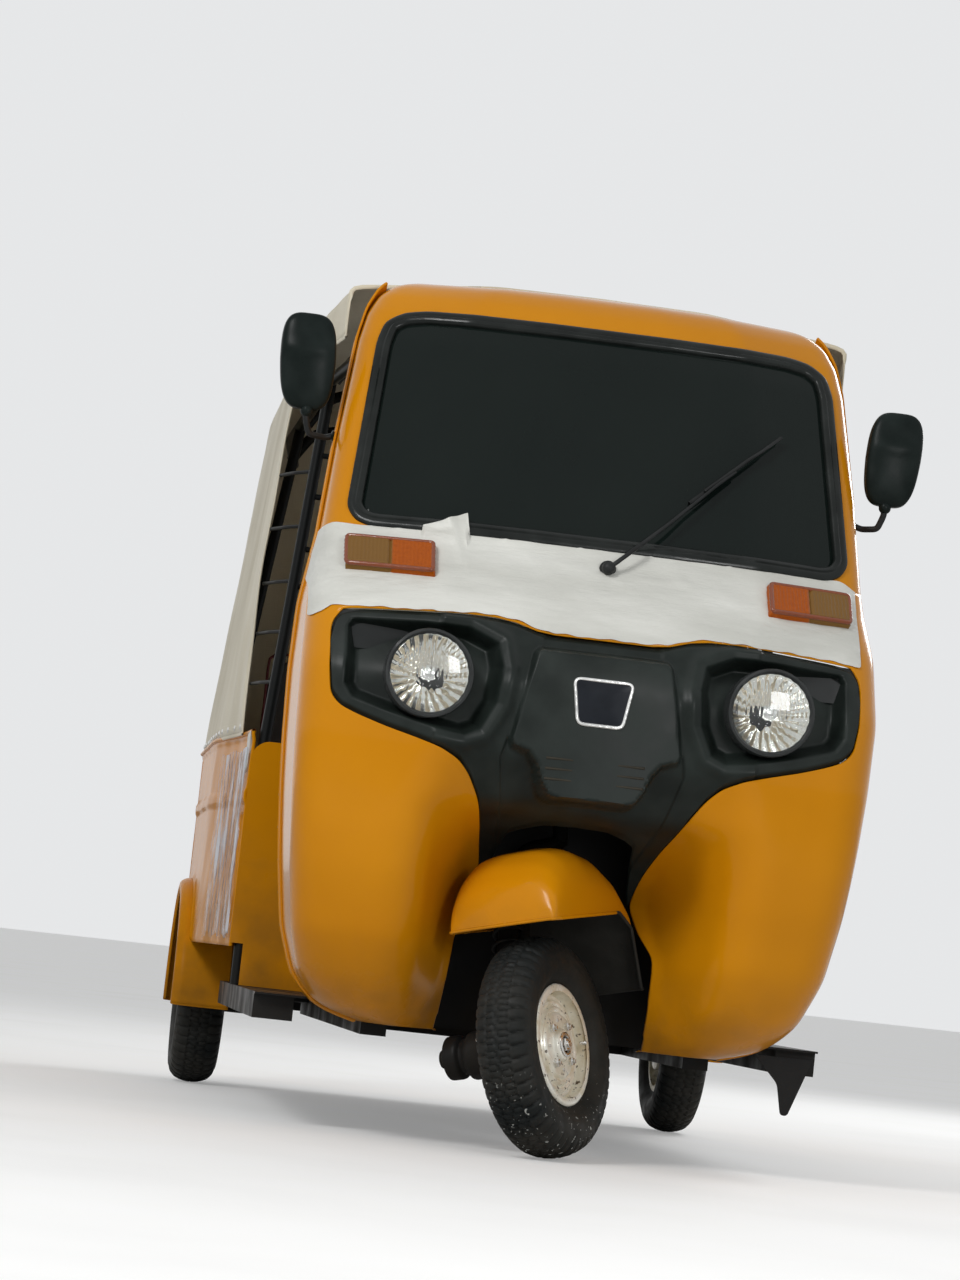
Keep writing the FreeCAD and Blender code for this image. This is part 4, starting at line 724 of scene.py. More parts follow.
def dense_ends(points, radius, spread, count):
    """A smooth line with extra points near its ends, where a rod's rounded cap needs them."""
    line = smoothed(points, spread, count)
    steps = np.sin(np.linspace(0, np.pi / 2, 7)) ** 2
    first, last = line[1] - line[0], line[-2] - line[-1]
    reach = min(radius, np.linalg.norm(first)) * 0.98
    head = line[0] + first / np.linalg.norm(first) * reach * steps[:, None]
    tail = line[-1] + last / np.linalg.norm(last) * reach * steps[::-1, None]
    return np.concatenate([head, line[1:-1], tail])


BLADE = [(-9, -0.6), (-3, -1), (0, -3), (4, -3.2), (5, 0), (4, 3.2), (0, 3), (-3, 1), (-9, 0.6), (-9, -0.6)]
foot = on_skin(cowl_skin, 8.0, 1112.0, 0.0)
knob = turned([(0.05, 30), (6, 29.5), (10.5, 26), (12.6, 20), (12.8, 12), (15.5, 9), (16, 3), (15, -2), (9, -4)],
              (8, foot[1], 1112), 40)
blade_line = on_skin(frame_skin, np.linspace(160, 341, 40), np.linspace(1259, 1421, 40), 10.5)
holder_line = on_skin(frame_skin, np.linspace(188, 312, 30), np.linspace(1284, 1395, 30), 17.0)
arm_line = [(8, foot[1] - 22, 1112), (30, foot[1] - 22, 1132), (120, on_skin(frame_skin, 120, 1214, 30)[1], 1214),
            (215, on_skin(frame_skin, 215, 1308, 24)[1], 1308), (252, on_skin(frame_skin, 252, 1341, 19)[1], 1341)]
blade = carried(blade_line, BLADE, (0, -1, 0.3))
wiper = add_piece("wiper_arm", [knob, capped(dense_ends(arm_line, 4.4, 12, 60), 4.4, (0, -1, 0), taper=0.35), blade,
                                capped(dense_ends(holder_line, 3.4, 4, 30), 3.4, (0, -1, 0))],
                  wiper_black, outward=True)
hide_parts("wiper")

# Mirrors: a moulded shell like a rounded shield with the mirror set in its rear, on a bent rod from the frame.
# The left one hangs lower.
mirror_black = black_plastic("mirror_shell", (0.008, 0.012, 0.011), (0.26, 0.45), 800, 0.00025, specular=0.08)
mirror_silver = Finish("mirror_silver", (0.8, 0.82, 0.84), 0.03, 1.0, gloss=(20, 5, 0.4, 0.8, 0.02, 0.15))
SHELL_RIM = [(1, 0), (1.01, 6), (0.99, 17), (0.96, 20.5), (0.93, 19.5), (0.92, 15)]  # share of the outline, back
SHELL_BACK = [(0.92, 15), (0.6, 13.6), (0.3, 12.9), (0.001, 12.6)]
for side, hand, low_z in ((1, "left", 1326), (-1, "right", 1376)):
    centre = np.array([side * 585, -901.5, low_z + 95])
    around = full_turn(97)
    wide = 54 * np.sign(np.cos(around)) * abs(np.cos(around)) ** 0.55
    tall = 94 * np.sign(np.sin(around)) * abs(np.sin(around)) ** 0.6
    wide = wide * (1 - 0.10 * (tall < 0) * (-tall / 94)) + side * 0.05 * tall
    rows = np.linspace(0, 1, 26)
    dome = np.sin(rows * np.pi / 2)
    depth = -20 * np.cos(rows * np.pi / 2) ** 0.8
    ridge = 3.0 * hump(tall[None] * dome[:, None], 22, 16.0) * (1 - rows[:, None] ** 4)
    shell = centre + xyz(wide * dome[:, None], depth[:, None] - ridge, tall * dome[:, None])
    rim, back = (np.stack([centre + xyz(wide * k, y, tall * k) for k, y in steps]) for steps in (SHELL_RIM, SHELL_BACK))
    foot_x = abs(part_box(f"mirror_{hand}")[0 if side > 0 else 1][0]) * 1000
    stalk = dense_ends([(side * (foot_x + 4), -872.5, low_z - 40), (side * (foot_x + 20), -874, low_z - 46),
                        (side * 568, -890, low_z - 44), (side * 577, -899, low_z - 16), (side * 577, -901, low_z + 32)],
                       7.0, 14, 60)
    collar = np.array([(side * 577, -901, low_z + z) for z in np.linspace(-14, 12, 12)])
    base = np.array([(side * (foot_x + x), -872.5, low_z - 40) for x in np.linspace(0.4, 10, 9)])
    shell = add_piece(f"mirror_shell_{hand}", [shell, rim, capped(collar, 12, (0, 1, 0)), capped(base, 16, (0, 0, 1))],
                      mirror_black, outward=True)
    add_piece(f"mirror_rod_{hand}", [capped(stalk, 6.2, (0, 1, 0.2))], wiper_black,
              outward=True)
    add_piece(f"mirror_pane_{hand}", [back], mirror_silver, outward=True)
    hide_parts(f"mirror_{hand}")

# Wheels: black tyres with a zigzag tread, raised rings on the walls, and road dust in the grooves. Stained silver
# rims with nuts, rivets, a hub cap and a valve; the front wheel is turned with the steering.
tyre_rubber = Finish("tyre_rubber", (0.012, 0.012, 0.012), 0.7, specular=0.2, gloss=(30, 4, 0.3, 0.7, 0.5, 0.8))
dust = tyre_rubber.dusty((0.0075, 0.0095, 0.0095), (0.04, 0.036, 0.029), -0.1, 0.6)[0]
specks = tyre_rubber.between(tyre_rubber.noise(130, 3), 0.66, 0.69)
low_down = tyre_rubber.between(tyre_rubber.part("Z"), 0.17, 0.05)
forward = tyre_rubber.between(tyre_rubber.part("Y"), -0.95, -1.0)
marks = tyre_rubber.maths("MULTIPLY", tyre_rubber.maths("MULTIPLY", low_down, forward), specks)
tyre_rubber.put(base_color=tyre_rubber.mixed(marks, dust, (0.55, 0.56, 0.53)))
tyre_rubber.bump(tyre_rubber.noise(500, 2), 0.3, 0.0003)
rim_silver = Finish("rim_silver", (0.8, 0.78, 0.7), 0.38, 0.2)
stain = rim_silver.between(rim_silver.noise(22, 7), 0.42, 0.66)
chips = rim_silver.between(rim_silver.noise(90, 5), 0.62, 0.68)
worn = rim_silver.mixed(stain, (0.97, 0.95, 0.85), (0.72, 0.64, 0.47))
rim_silver.put(base_color=rim_silver.mixed(chips, worn, (0.10, 0.07, 0.045)))
rim_silver.put(roughness=rim_silver.between(stain, 0, 1, 0.26, 0.6))
rim_silver.bump(rim_silver.noise(240, 3), 0.25, 0.0006)
nut_steel = Finish("nut_steel", (0.72, 0.71, 0.68), 0.25, 1.0, gloss=(200, 3, 0.3, 0.7, 0.16, 0.45))
LUGS = 52


def spun(profile, count):
    """A profile of (across, radius) spun round the X axis."""
    profile = np.asarray(profile, float)
    turn = full_turn(count + 1)[None]
    return xyz(profile[:, :1], profile[:, 1:] * np.cos(turn), profile[:, 1:] * np.sin(turn))


def tyre_patch():
    """Outer wall and tread over (place on the section, angle): the section less grooves that repeat with the angle."""
    wall = [(-36, 107), (-36, 117), (-41, 124), (-51, 136), (-55.6, 152), (-54.5, 170), (-50, 186), (-39, 198),
            (-21, 205.5), (0, 208)]
    section = smoothed(wall + [(-u, v) for u, v in wall[-2::-1]], 6, 62)
    turn = full_turn(LUGS * 8 + 1)[None]
    u, v = section[:, :1], section[:, 1:]
    phase = turn * LUGS / (2 * np.pi)
    zig = abs((phase + 0.25) % 1.0 - 0.5) * 4 - 1
    side = np.sign(u + 1e-9)
    middle_groove = hump(u, 3.5 * zig, 2.3)
    rib_groove = np.exp(-((abs(u) - 21 - 3.5 * zig * side) / 2.3) ** 2)
    slant = (phase + 0.5 * (side > 0) + abs(u) * 0.008) % 1.0 - 0.5
    cut = np.exp(-(slant / 0.13) ** 4)
    lugs = cut * step(abs(u), 23, 27) * step(v, 176, 184)
    slits = np.exp(-(((phase + 0.25) % 0.5 - 0.25) / 0.09) ** 4)
    sipes = 0.55 * slits * step(abs(u), 5, 7) * (1 - step(abs(u), 17, 19))
    depth = 5.5 * np.maximum(np.maximum(middle_groove, rib_groove), np.maximum(lugs, sipes)) * step(v, 172, 184)
    rings = (0.9 * (hump(v, 130, 1.5) + hump(v, 171, 1.8))
             + 0.5 * np.exp(-((v - 150) / 9) ** 6))
    ribs = 0.5 * np.exp(-((v - 124) / 4) ** 4) * (np.sin(turn * 104) > 0)
    lean = step(abs(u), 8, 48)
    out = rings * (v < 190) + ribs - depth
    x = u + side * out * lean * (depth < 0.01) + 0 * turn
    radius = v + out * np.where(depth > 0.01, 1, 1 - lean) + 0 * turn
    return xyz(x, radius * np.cos(turn), radius * np.sin(turn))


RIM = [(41, 101), (42, 106), (41.5, 112), (39, 115), (36.4, 114.6), (36.2, 108), (34, 107), (20, 104.5), (15, 102),
       (15.5, 99), (21, 97.5), (23, 94), (21.5, 90), (23.5, 86), (27.5, 84), (27, 80), (24.5, 77), (28, 74), (32, 71),
       (31, 67), (28.5, 64), (32.5, 61), (34, 58), (34, 33), (35.5, 31), (41, 29.5), (44, 27), (44, 17.2)]
RIM_BACK = [(44, 17.2), (30, 17.2), (-44, 17.2), (-44, 60), (-42, 62), (-6, 63.5), (12, 66), (13, 92), (10, 99),
            (-12, 100.5), (-34, 102.5), (-38, 101), (-41.6, 101.5), (-42, 108), (-41, 113.5), (-39, 115),
            (-36.4, 114.4), (-36.2, 108), (-30, 106.6), (0, 106.2), (36.2, 107), (36.2, 108)]
TYRE_INSIDE = [(36, 107), (30, 107), (33, 150), (22, 190), (0, 196), (-22, 190), (-33, 150), (-30, 107), (-36, 107)]
FRONT_HUB, REAR_Y, REAR_Z, TRACK = np.array([0, -1122.5, 208.0887]), 877.5, 208, 575
RAKE, PARKED = np.radians(22), np.radians(-35)
AXIS = np.array([0, np.sin(RAKE), np.cos(RAKE)])


def about(vector, angle):
    """Turning matrix for row vectors, round a unit vector."""
    x, y, z = vector
    skew = np.array([[0, -z, y], [z, 0, -x], [-y, x, 0]])
    return (np.eye(3) + np.sin(angle) * skew + (1 - np.cos(angle)) * skew @ skew).T


REST = about(AXIS, PARKED)
STEER_FOOT = np.array([0, -1182.5, 0])  # where the steering's axis meets the floor


def at_rest(patch):
    """Points of the straight-ahead steering, turned to where it is parked."""
    return (patch - STEER_FOOT) @ REST + STEER_FOOT


def hexagons(spots, across, height):
    """Nuts with a bevelled top and a stud end, standing along +X on their spots."""
    profile = np.array([(0, 1), (0.78, 1), (1, 0.86), (1, 0.56), (1.35, 0.5), (1.42, 0.4), (1.42, 0.01)])
    one = spun(profile * (height, across / 2), 6)
    return [one + np.asarray(spot, float) for spot in spots]


tyre_grid = tyre_patch()
inside = spun(TYRE_INSIDE, LUGS * 8)
rim_grid = spun(np.concatenate([smoothed(RIM, 1.5, 70)[:-1], RIM[-1:]]), 88)
rim_back = spun(RIM_BACK, 88)
studs = np.radians(45 + 90 * np.arange(4))
nuts = hexagons([(33.6, 46 * np.cos(a), 46 * np.sin(a)) for a in studs], 17, 9)
rivets = hexagons([(33.6, 46 * np.cos(a), 46 * np.sin(a)) for a in studs + np.pi / 4], 8, 2.2)
hub_nut = hexagons([(42, 0, 0)], 27, 8)
cap = spun([(43.5, 24), (46, 23.4), (47.4, 20), (47, 17), (44.5, 15.6)], 48)
valve = [capped(np.array([(34 + t, 84.0 + t * 0.2, 0) for t in np.linspace(0, 16, 14)]), 3.6, (0, 0, 1), 12)]
wheel_parts = [("tread", [tyre_grid, inside], tyre_rubber, "tyre", 50),
               ("wheel_disc", [rim_grid, rim_back], rim_silver, "rim", 30),
               ("wheel_nuts", nuts + rivets + hub_nut + [cap] + valve, nut_steel, "rim", 25)]
WHEELS = [("front", "front_wheel", FRONT_HUB, 1), ("rear_left", "rear_left_wheel", (TRACK, REAR_Y, REAR_Z), 1),
          ("rear_right", "rear_right_wheel", (-TRACK, REAR_Y, REAR_Z), -1)]
for name, body, centre, facing in WHEELS:
    for part, patches, finish, slot, angle in wheel_parts:
        placed = [patch * (facing, facing, 1) + np.array(centre) for patch in patches]
        placed = [at_rest(patch) for patch in placed] if name == "front" else placed
        add_piece(f"{name}_{part}", placed, finish, body, outward=True, angle=angle)
    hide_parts(f"{name}_tyre")
    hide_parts(f"{name}_rim")

# Front mudguard: a pressed dome over the wheel with deep sides and a rolled rim, black inside. Its top line
# and its lower edge are read along the vehicle, and each section is a flattened arch.
GUARD_TOP = [(123, 438), (119, 470), (104, 514), (76, 549), (36, 573), (-30, 581), (-98, 568), (-160, 527), (-205, 470),
             (-235, 385), (-252, 301)]
top_line = smoothed(GUARD_TOP, 26, 86)
foot_z = np.interp(-top_line[:, 0], [-123, -100, 150, 205, 226, 252], [437, 437, 446, 415, 300, 299.5])
foot_z = np.minimum(foot_z, top_line[:, 1] - 0.6)


def guard_patch(inset):
    """Arched sections over (distance back, turn): a flattened dome that widens towards its middle."""
    turn = np.linspace(0, np.pi, 52)[None]
    wide = (120 - inset) * (0.86 + 0.14 * np.sin(np.linspace(0, np.pi, 86)) ** 0.7)[:, None]
    x = wide * np.sign(np.cos(turn)) * abs(np.cos(turn)) ** 0.62
    rise = np.sin(turn) ** 0.62
    z = foot_z[:, None] + (top_line[:, 1:] - inset - foot_z[:, None]) * rise
    return xyz(x, FRONT_HUB[1] - top_line[:, :1] * (1 - inset / 400), z)


guard_paint = yellow_paint("mudguard_enamel", 0.3, 0.5)
# a black sheet just inside the dome, and a black hem along its rear edge
liner_black = black_plastic("guard_liner_black", (0.022, 0.021, 0.018), (0.7, 0.95), 120, 0.002)
guard_grid = guard_patch(0)
lead = 47  # rows of the guard whose lower edge is the front one
front_edge = at_rest(np.concatenate([guard_grid[lead:0:-1, 0], guard_grid[0], guard_grid[1:lead + 1, -1]]))
rear_edge = at_rest(np.concatenate([guard_grid[lead:, 0], guard_grid[-1, 1:-1], guard_grid[:lead - 1:-1, -1]]))
guard = add_piece("mudguard_dome", [at_rest(guard_grid)[:, ::-1]], guard_paint, "steering")
add_piece("mudguard_liner", [at_rest(guard_patch(2.6))], liner_black, "steering")
for name, edge, finish in (("mudguard_rim", front_edge, guard_paint), ("mudguard_hem", rear_edge, liner_black)):
    add_piece(name, [carried(edge, round_profile(3.2, 10), (0, 0, 1))], finish, "steering", outward=True)
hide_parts("front_mudguard")

# Edge strips: a turned steel flange runs up behind the cowl and the screen post on each side, with a bead and a
# row of screws.
trim_paint = yellow_paint("flange_enamel", 0.1, 0.6)
screw_steel = Finish("screw_heads", (0.25, 0.2, 0.12), 0.5, 0.7, tint=(300, 4, (0.32, 0.27, 0.18), (0.10, 0.07, 0.04)))
SCREW_PITCH = 62
FLANGE_STRIP = [(-1.5, -1), (3, -2.5), (5, 0), (3.2, 3), (2.2, 6), (2.2, 23), (3.6, 25), (3.4, 27), (0, 27.5),
                (-1.5, 26), (-1.5, -1)]
edge_low, edge_high = cowl_skin.at(1.0, np.linspace(216, SEAM, 200)), frame_skin.at(1.0, np.linspace(SEAM, 1655, 120))
edge_run = smoothed(np.concatenate([edge_low, edge_high[1:]]), 14, 300)


def domes(spots, radius, height, facing):
    """Small round heads on their spots, looking along one axis."""
    turn, up = np.meshgrid(full_turn(17), np.linspace(0, np.pi / 2, 5))
    ring = xyz(radius * np.cos(up) * np.cos(turn), radius * np.cos(up) * np.sin(turn), height * np.sin(up))
    facing = unit(np.asarray(facing, float))
    aside = unit(np.cross(facing, (0.1, 0.3, 1.0)))
    head = ring[..., :1] * aside + ring[..., 1:2] * np.cross(facing, aside) + ring[..., 2:] * facing
    return [head + np.asarray(spot, float) for spot in spots]


strips, heads = [], []
for side in (-1, 1):
    path = edge_run * (side, 1, 1)
    strips.append(carried(path, [(a, -b * side) for a, b in FLANGE_STRIP], (side, 0, 0)))
    spots = [[np.interp(z, path[:, 2], path[:, k]) for k in range(3)] for z in np.arange(258, 1620, SCREW_PITCH)]
    heads += domes(np.array(spots) + (side * 2.4, 14, 0), 4.2, 2.2, (side, 0, 0))
add_piece("edge_strips", strips, trim_paint, outward=True)
add_piece("edge_screws", heads, screw_steel)

# Rear body sides: pressed panels with a raised band, a rolled top edge, an upright recess by the doorway and a
# flared arch over each wheel. Their paint is duller than the cowl's.
side_paint = yellow_paint("side_enamel", 0.2, 0.5, coat=0.0, specular=0.04)
# Half width of the body along the vehicle (Y, X)
PLAN = [(-120, 566.5), (0, 571), (61, 575.5), (150, 584), (300, 601), (400, 612), (472, 618.5), (540, 620), (1152, 620)]
TAIL, SILL_LOW, SIDE_TOP, ARCH = 1152.0, 330.5, 789.5, 271.0
plan = smoothed(PLAN, 30, 400)


def side_panel(side, start, stop):
    """The plan line carried up from the sill or the wheel arch; pressings move it outward."""
    y = np.linspace(start, stop, 150)[None]
    arch = REAR_Z + np.sqrt(np.clip(ARCH ** 2 - (y - REAR_Y) ** 2, 0, None))
    z = blend(np.maximum(SILL_LOW, arch), SIDE_TOP, np.linspace(0, 1, 72)[:, None])
    band = 4 * step(z, 636, 643) * (1 - step(z, 662, 669))
    roll = 3 * step(z, 774, 779)
    arch_lip = 6 * hump(z, arch, 9) * (arch > 331)
    recess = (-7 * step(y, start + 46, start + 58) * (1 - step(y, start + 128, start + 140)) * step(z, 372, 386)
              * (1 - step(z, 606, 620)))
    dents = 0.7 * np.sin(y * 0.021 + 1) * np.sin(z * 0.017) + 0.4 * np.sin(y * 0.05 + z * 0.03)
    return xyz(side * (read(plan, y) + band + roll + arch_lip + recess + dents - 0.6), y, z)


for side, hand, start in ((-1, "right", -118.5), (1, "left", 543.0)):
    grid = side_panel(side, start, TAIL)
    beads = [carried(grid[-1], round_profile(5, 12), (0, 0, 1)), carried(grid[:, 0], round_profile(4, 12), (0, -1, 0))]
    panel = add_piece(f"side_pressing_{hand}", [grid[:, ::side]], side_paint, thick=2.2)
    add_piece(f"side_beads_{hand}", beads, side_paint, outward=True)
    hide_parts(f"side_panel_{hand}")

# Rear mudguards: narrow rounded hoops over the wheels with a turned lip, and three bolts each. Their section
# (half width, distance from the axle) is swept a little over half a turn.
HOOP = [(519.5, 268), (519.5, 271), (600, 271), (634, 270), (648, 262), (649.5, 247), (646, 246.5)]
across, reach = smoothed(HOOP, 7, 32).T[:, :, None]
sweep = np.radians(np.linspace(-5, 185, 96))
for side, hand in HANDS:
    hoop = xyz(side * across, REAR_Y - reach * np.cos(sweep), REAR_Z + reach * np.sin(sweep))
    lips = [carried(hoop[-1], round_profile(2.6, 10), (side, 0, 0))]
    lips += [carried(edge, round_profile(2.4, 10), (0, 0, -1)) for edge in (hoop[:, 0], hoop[:, -1])]
    hoop_piece = add_piece(f"rear_hoop_{hand}", [hoop[:, ::side]], side_paint, thick=2.2)
    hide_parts(f"rear_mudguard_{hand}")
    add_piece(f"rear_hoop_lip_{hand}", lips, side_paint, outward=True)
    spots = [(side * 600, REAR_Y - ARCH * np.cos(a), REAR_Z + ARCH * np.sin(a)) for a in np.radians((40, 90, 140))]
    add_piece(f"rear_hoop_bolts_{hand}", domes(spots, 6, 3, (0, 0, 1)), screw_steel)

# Hood: cream coated canvas over the bows, one sheet that runs down the sides and round the back to the window.
# It sags between the bows, puckers at them, and hangs in folds; hems run along its edges and studs along its foot.
canvas = Finish("hood_canvas", (0.70, 0.64, 0.5), 0.75)
weave = canvas.maths("ADD", canvas.noise(1.0, 1, (420, 420, 6)), canvas.noise(1.0, 1, (6, 6, 420)))
age = canvas.between(canvas.noise(4, 7, (1, 1, 0.6)), 0.35, 0.7)
coat = canvas.mixed(age, (0.74, 0.68, 0.53), (0.58, 0.52, 0.38))
aside = canvas.maths("ABSOLUTE", canvas.part("X"))
seam = canvas.maths("MULTIPLY", canvas.between(aside, 0.246, 0.249), canvas.between(aside, 0.271, 0.274, 1, 0))
canvas.put(base_color=canvas.mixed(seam, coat, (0.5, 0.45, 0.33)), roughness=canvas.between(age, 0, 1, 0.6, 0.85),
           sheen_weight=0.25)
canvas.bump(canvas.maths("MULTIPLY_ADD", seam, 2.5, weave), 0.5, 0.0008)
EAVE, BACK, BEND = 1560.0, 1228.0, 96.0
FOOT, FIRST_BOW, DOOR_BOW, REAR_BOW = 790.4, -711, 37.5, 602.5
arch_half = smoothed([(622, 790), (587, 1200), (556, 1560), (549, 1640), (500, 1668), (219, 1701), (0, 1703.5)], 46,
                     400)
CURTAIN, FRONT, MIDDLE_BAY = 40, 34, 24  # grid rows of a side curtain, and columns of the two front bays
curtain_z = np.linspace(FOOT, EAVE, CURTAIN)
curtain_x = np.interp(curtain_z, arch_half[:, 1], arch_half[:, 0])
roof_part = arch_half[arch_half[:, 1] > EAVE]
roof_half = evenly(np.concatenate([[[np.interp(EAVE, arch_half[:, 1], arch_half[:, 0]), EAVE]], roof_part])[None],
                   36)[0]
arch = np.concatenate([xyz(curtain_x, curtain_z)[:-1], roof_half])
arch = np.concatenate([arch * (-1, 1), arch[-2::-1]])
first_roof, last_roof = CURTAIN - 1, len(arch) - CURTAIN
length_grid = np.concatenate([np.linspace(FIRST_BOW, DOOR_BOW, FRONT)[:-1],
                              np.linspace(DOOR_BOW, REAR_BOW, MIDDLE_BAY)[:-1], np.linspace(REAR_BOW, BACK - BEND, 22)])


def hood_points(section, y):
    """The arch at a distance back: held to the body's plan, sagging between bows, puckered at the bows and posts."""
    x, z = section[:, None, 0], section[:, None, 1]
    y = np.asarray(y, float)[None]
    plan = np.interp(y, [-711, -122.5, 602.5, 1230], [508, 572, 640, 640])
    held = -7 * np.log(np.exp(-abs(x) / 7) + np.exp(-plan / 7))
    high = step(z, 1600, 1690)
    bows = np.array([-711, -107, 632, 1122, 1228.0])
    place = np.interp(y, bows, np.arange(5.0))
    sag = 6.5 * np.sin((place % 1) * np.pi) ** 2 * high * (1 - 0.5 * (abs(x) / 560) ** 2)
    tight = np.exp(-(np.minimum(place % 1, 1 - place % 1) / 0.09) ** 2)
    pucker = 1.1 * tight * np.sin(x * 0.16 + 2 * np.sin(y * 0.01)) * high
    low = 1 - step(z, 1500, 1640)
    hang = 2.4 * np.sin(y * 0.041 + 1.7 * np.sin(z * 0.006)) * step(z, 780, 900) * (1 - step(z, 1300, 1560))
    folds = low * (hang + 1.2 * np.sin(y * 0.017 - z * 0.021))
    out = np.where(low > 0.5, folds, 0) * (1 - tight)
    front = 1 - step(y, FIRST_BOW, -420)
    return xyz(np.sign(x) * (held - 3 + out), y, z - sag + pucker * (1 - front) - 7 * front * high)


whole = hood_points(arch, length_grid)
roof = whole[first_roof:last_roof + 1]
right_side = whole[:first_roof + 1, FRONT - 1:]
left_side = whole[last_roof:, FRONT + MIDDLE_BAY - 2:]
last = whole[:, -1]
corner = []
for angle in np.linspace(0, np.pi / 2, 11):
    inset = BEND * (1 - np.cos(angle))
    corner.append(xyz(last[:, 0] * (1 - inset / 622), last[:, 1] + BEND * np.sin(angle),
                      FOOT + (last[:, 2] - FOOT) * (1 - inset / 914)))
corner = np.stack(corner, 1)
bottom = np.linspace(corner[-1, -1], corner[0, -1], 50)[1:]
rim_loop = np.concatenate([corner[:, -1], bottom])
window = rounded_loop([(-334, 1136), (334, 1136), (295, 1444), (-295, 1444)], 60, 400)
WINDOW_Z = 1290  # its middle
polar = np.arctan2(window[:, 0], window[:, 1] - WINDOW_Z)
order = np.argsort(polar)
angle = np.arctan2(rim_loop[:, 0], rim_loop[:, 2] - WINDOW_Z)
window_x, window_z = (np.interp(angle, polar[order], window[order, k], period=2 * np.pi) for k in (0, 1))
k = np.linspace(0, 1, 28)[None, :, None]
back_wall = blend(rim_loop[:, None], xyz(window_x, BACK, window_z)[:, None], k)
billow = 3.0 * np.sin(k[..., 0] * np.pi) * np.sin(back_wall[..., 2] * 0.019 + 2 * np.sin(back_wall[..., 0] * 0.008))
back_wall[..., 1] -= 1.5 * np.sin(k[..., 0] * np.pi) - billow * 0.5
sheets = [roof, right_side, left_side, corner, back_wall]


def area_of(grid):
    """Square metres of a patch, from its cells' two triangles."""
    a, b, c, e = grid[:-1, :-1], grid[:-1, 1:], grid[1:, 1:], grid[1:, :-1]
    halves = (np.linalg.norm(np.cross(first - a, second - a), axis=-1) for first, second in ((b, c), (c, e)))
    return float(sum(halves).sum() / 2e6)


hood = add_piece("hood_sheet", sheets, canvas, thick=1.6, angle=60)
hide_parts("hood")
hem_lines = [roof[:, 0], roof[0, :FRONT], roof[-1, :FRONT + MIDDLE_BAY - 1], right_side[:, 0], left_side[:, 0],
             np.concatenate([right_side[0], corner[0, 1:]]), np.concatenate([left_side[-1], corner[-1, 1:]]), bottom,
             back_wall[:, -1]]
hem_turn = full_turn(13)
HEM = xyz(4.5 * np.cos(hem_turn), 2.2 * np.sin(hem_turn))
hems = [carried(line, HEM, (0, 0.02, 1) if abs(line[-1, 2] - line[0, 2]) < 300 else (0, 1, 0)) for line in hem_lines]
hem = add_piece("hood_hem", hems, canvas, outward=True)
studs = []
for side, first in ((-1, 70), (1, 640)):
    foot_x = [(y, np.interp(y, length_grid, abs(whole[0, :, 0])) + 1) for y in np.arange(first, 1130, 95)]
    studs += domes([(side * x, y, 806) for y, x in foot_x], 7, 3.5, (side, 0, 0))
studs_piece = add_piece("hood_studs", studs, nut_steel)
total = sum(area_of(grid) for grid in sheets)


# Solids that stay in view: black chassis paint, moulded and cast parts, rubber flap, yellow tail and the tinted rear
# window.
def dress(finish, *names):
    """Gives named solids a finish of their own."""
    for name in names:
        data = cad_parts[name].data
        data.materials.clear()
        data.materials.append(finish.data)


def black_enamel(name, colour=(0.012, 0.012, 0.012)):
    """Satin black chassis paint, dusty towards the ground."""
    made = Finish(name, colour, 0.4, specular=0.12)
    worn, amount = made.dusty(colour, (0.018, 0.015, 0.011), 0.1, 0.75)
    made.put(base_color=worn, roughness=made.between(amount, 0, 1, 0.3, 0.8))
    made.bump(made.noise(160, 4), 0.3, 0.0005)
    return made


chassis_black = black_enamel("chassis_black")
tube_black = black_enamel("tube_black", (0.009, 0.010, 0.010))
dress(chassis_black, "toe_board", "floor_pan", "fork", "trailing_arm_left", "trailing_arm_right", "rear_bumper",
      "number_plate_holder")
dress(tube_black, "hood_frame", "handlebar")
dress(black_plastic("dash_plastic", (0.014, 0.016, 0.016), (0.35, 0.6), 700, 0.0003), "dashboard")
dress(yellow_paint("bulkhead_enamel", 0.2, 0.7), "bulkhead")
dress(yellow_paint("tail_enamel", 0.2, 0.6), "rear_panel", "engine_lid")
dress(black_plastic("flap_rubber", (0.014, 0.014, 0.014), (0.6, 0.85), 240, 0.0008), "splash_flap")
cast_metal = Finish("cast_metal", (0.2, 0.2, 0.19), 0.6, 0.7)
oil = cast_metal.between(cast_metal.noise(10, 7), 0.45, 0.65)
cast_metal.put(base_color=cast_metal.mixed(oil, (0.26, 0.25, 0.24), (0.05, 0.04, 0.03)))
cast_metal.put(roughness=cast_metal.between(oil, 0, 1, 0.65, 0.3))
cast_metal.bump(cast_metal.noise(320, 3), 0.5, 0.001)
dress(cast_metal, "engine", "muffler")
window_sheet = Finish("rear_window_sheet", (0.4, 0.36, 0.28), 0.2, transmission_weight=0.75)
haze = window_sheet.noise(8, 6)
window_sheet.put(base_color=window_sheet.mixed(haze, (0.32, 0.28, 0.2), (0.5, 0.45, 0.35)))
window_sheet.put(roughness=window_sheet.between(haze, 0.3, 0.7, 0.12, 0.4))
window_sheet.bump(window_sheet.noise(9, 3), 0.4, 0.006)
dress(window_sheet, "rear_window")

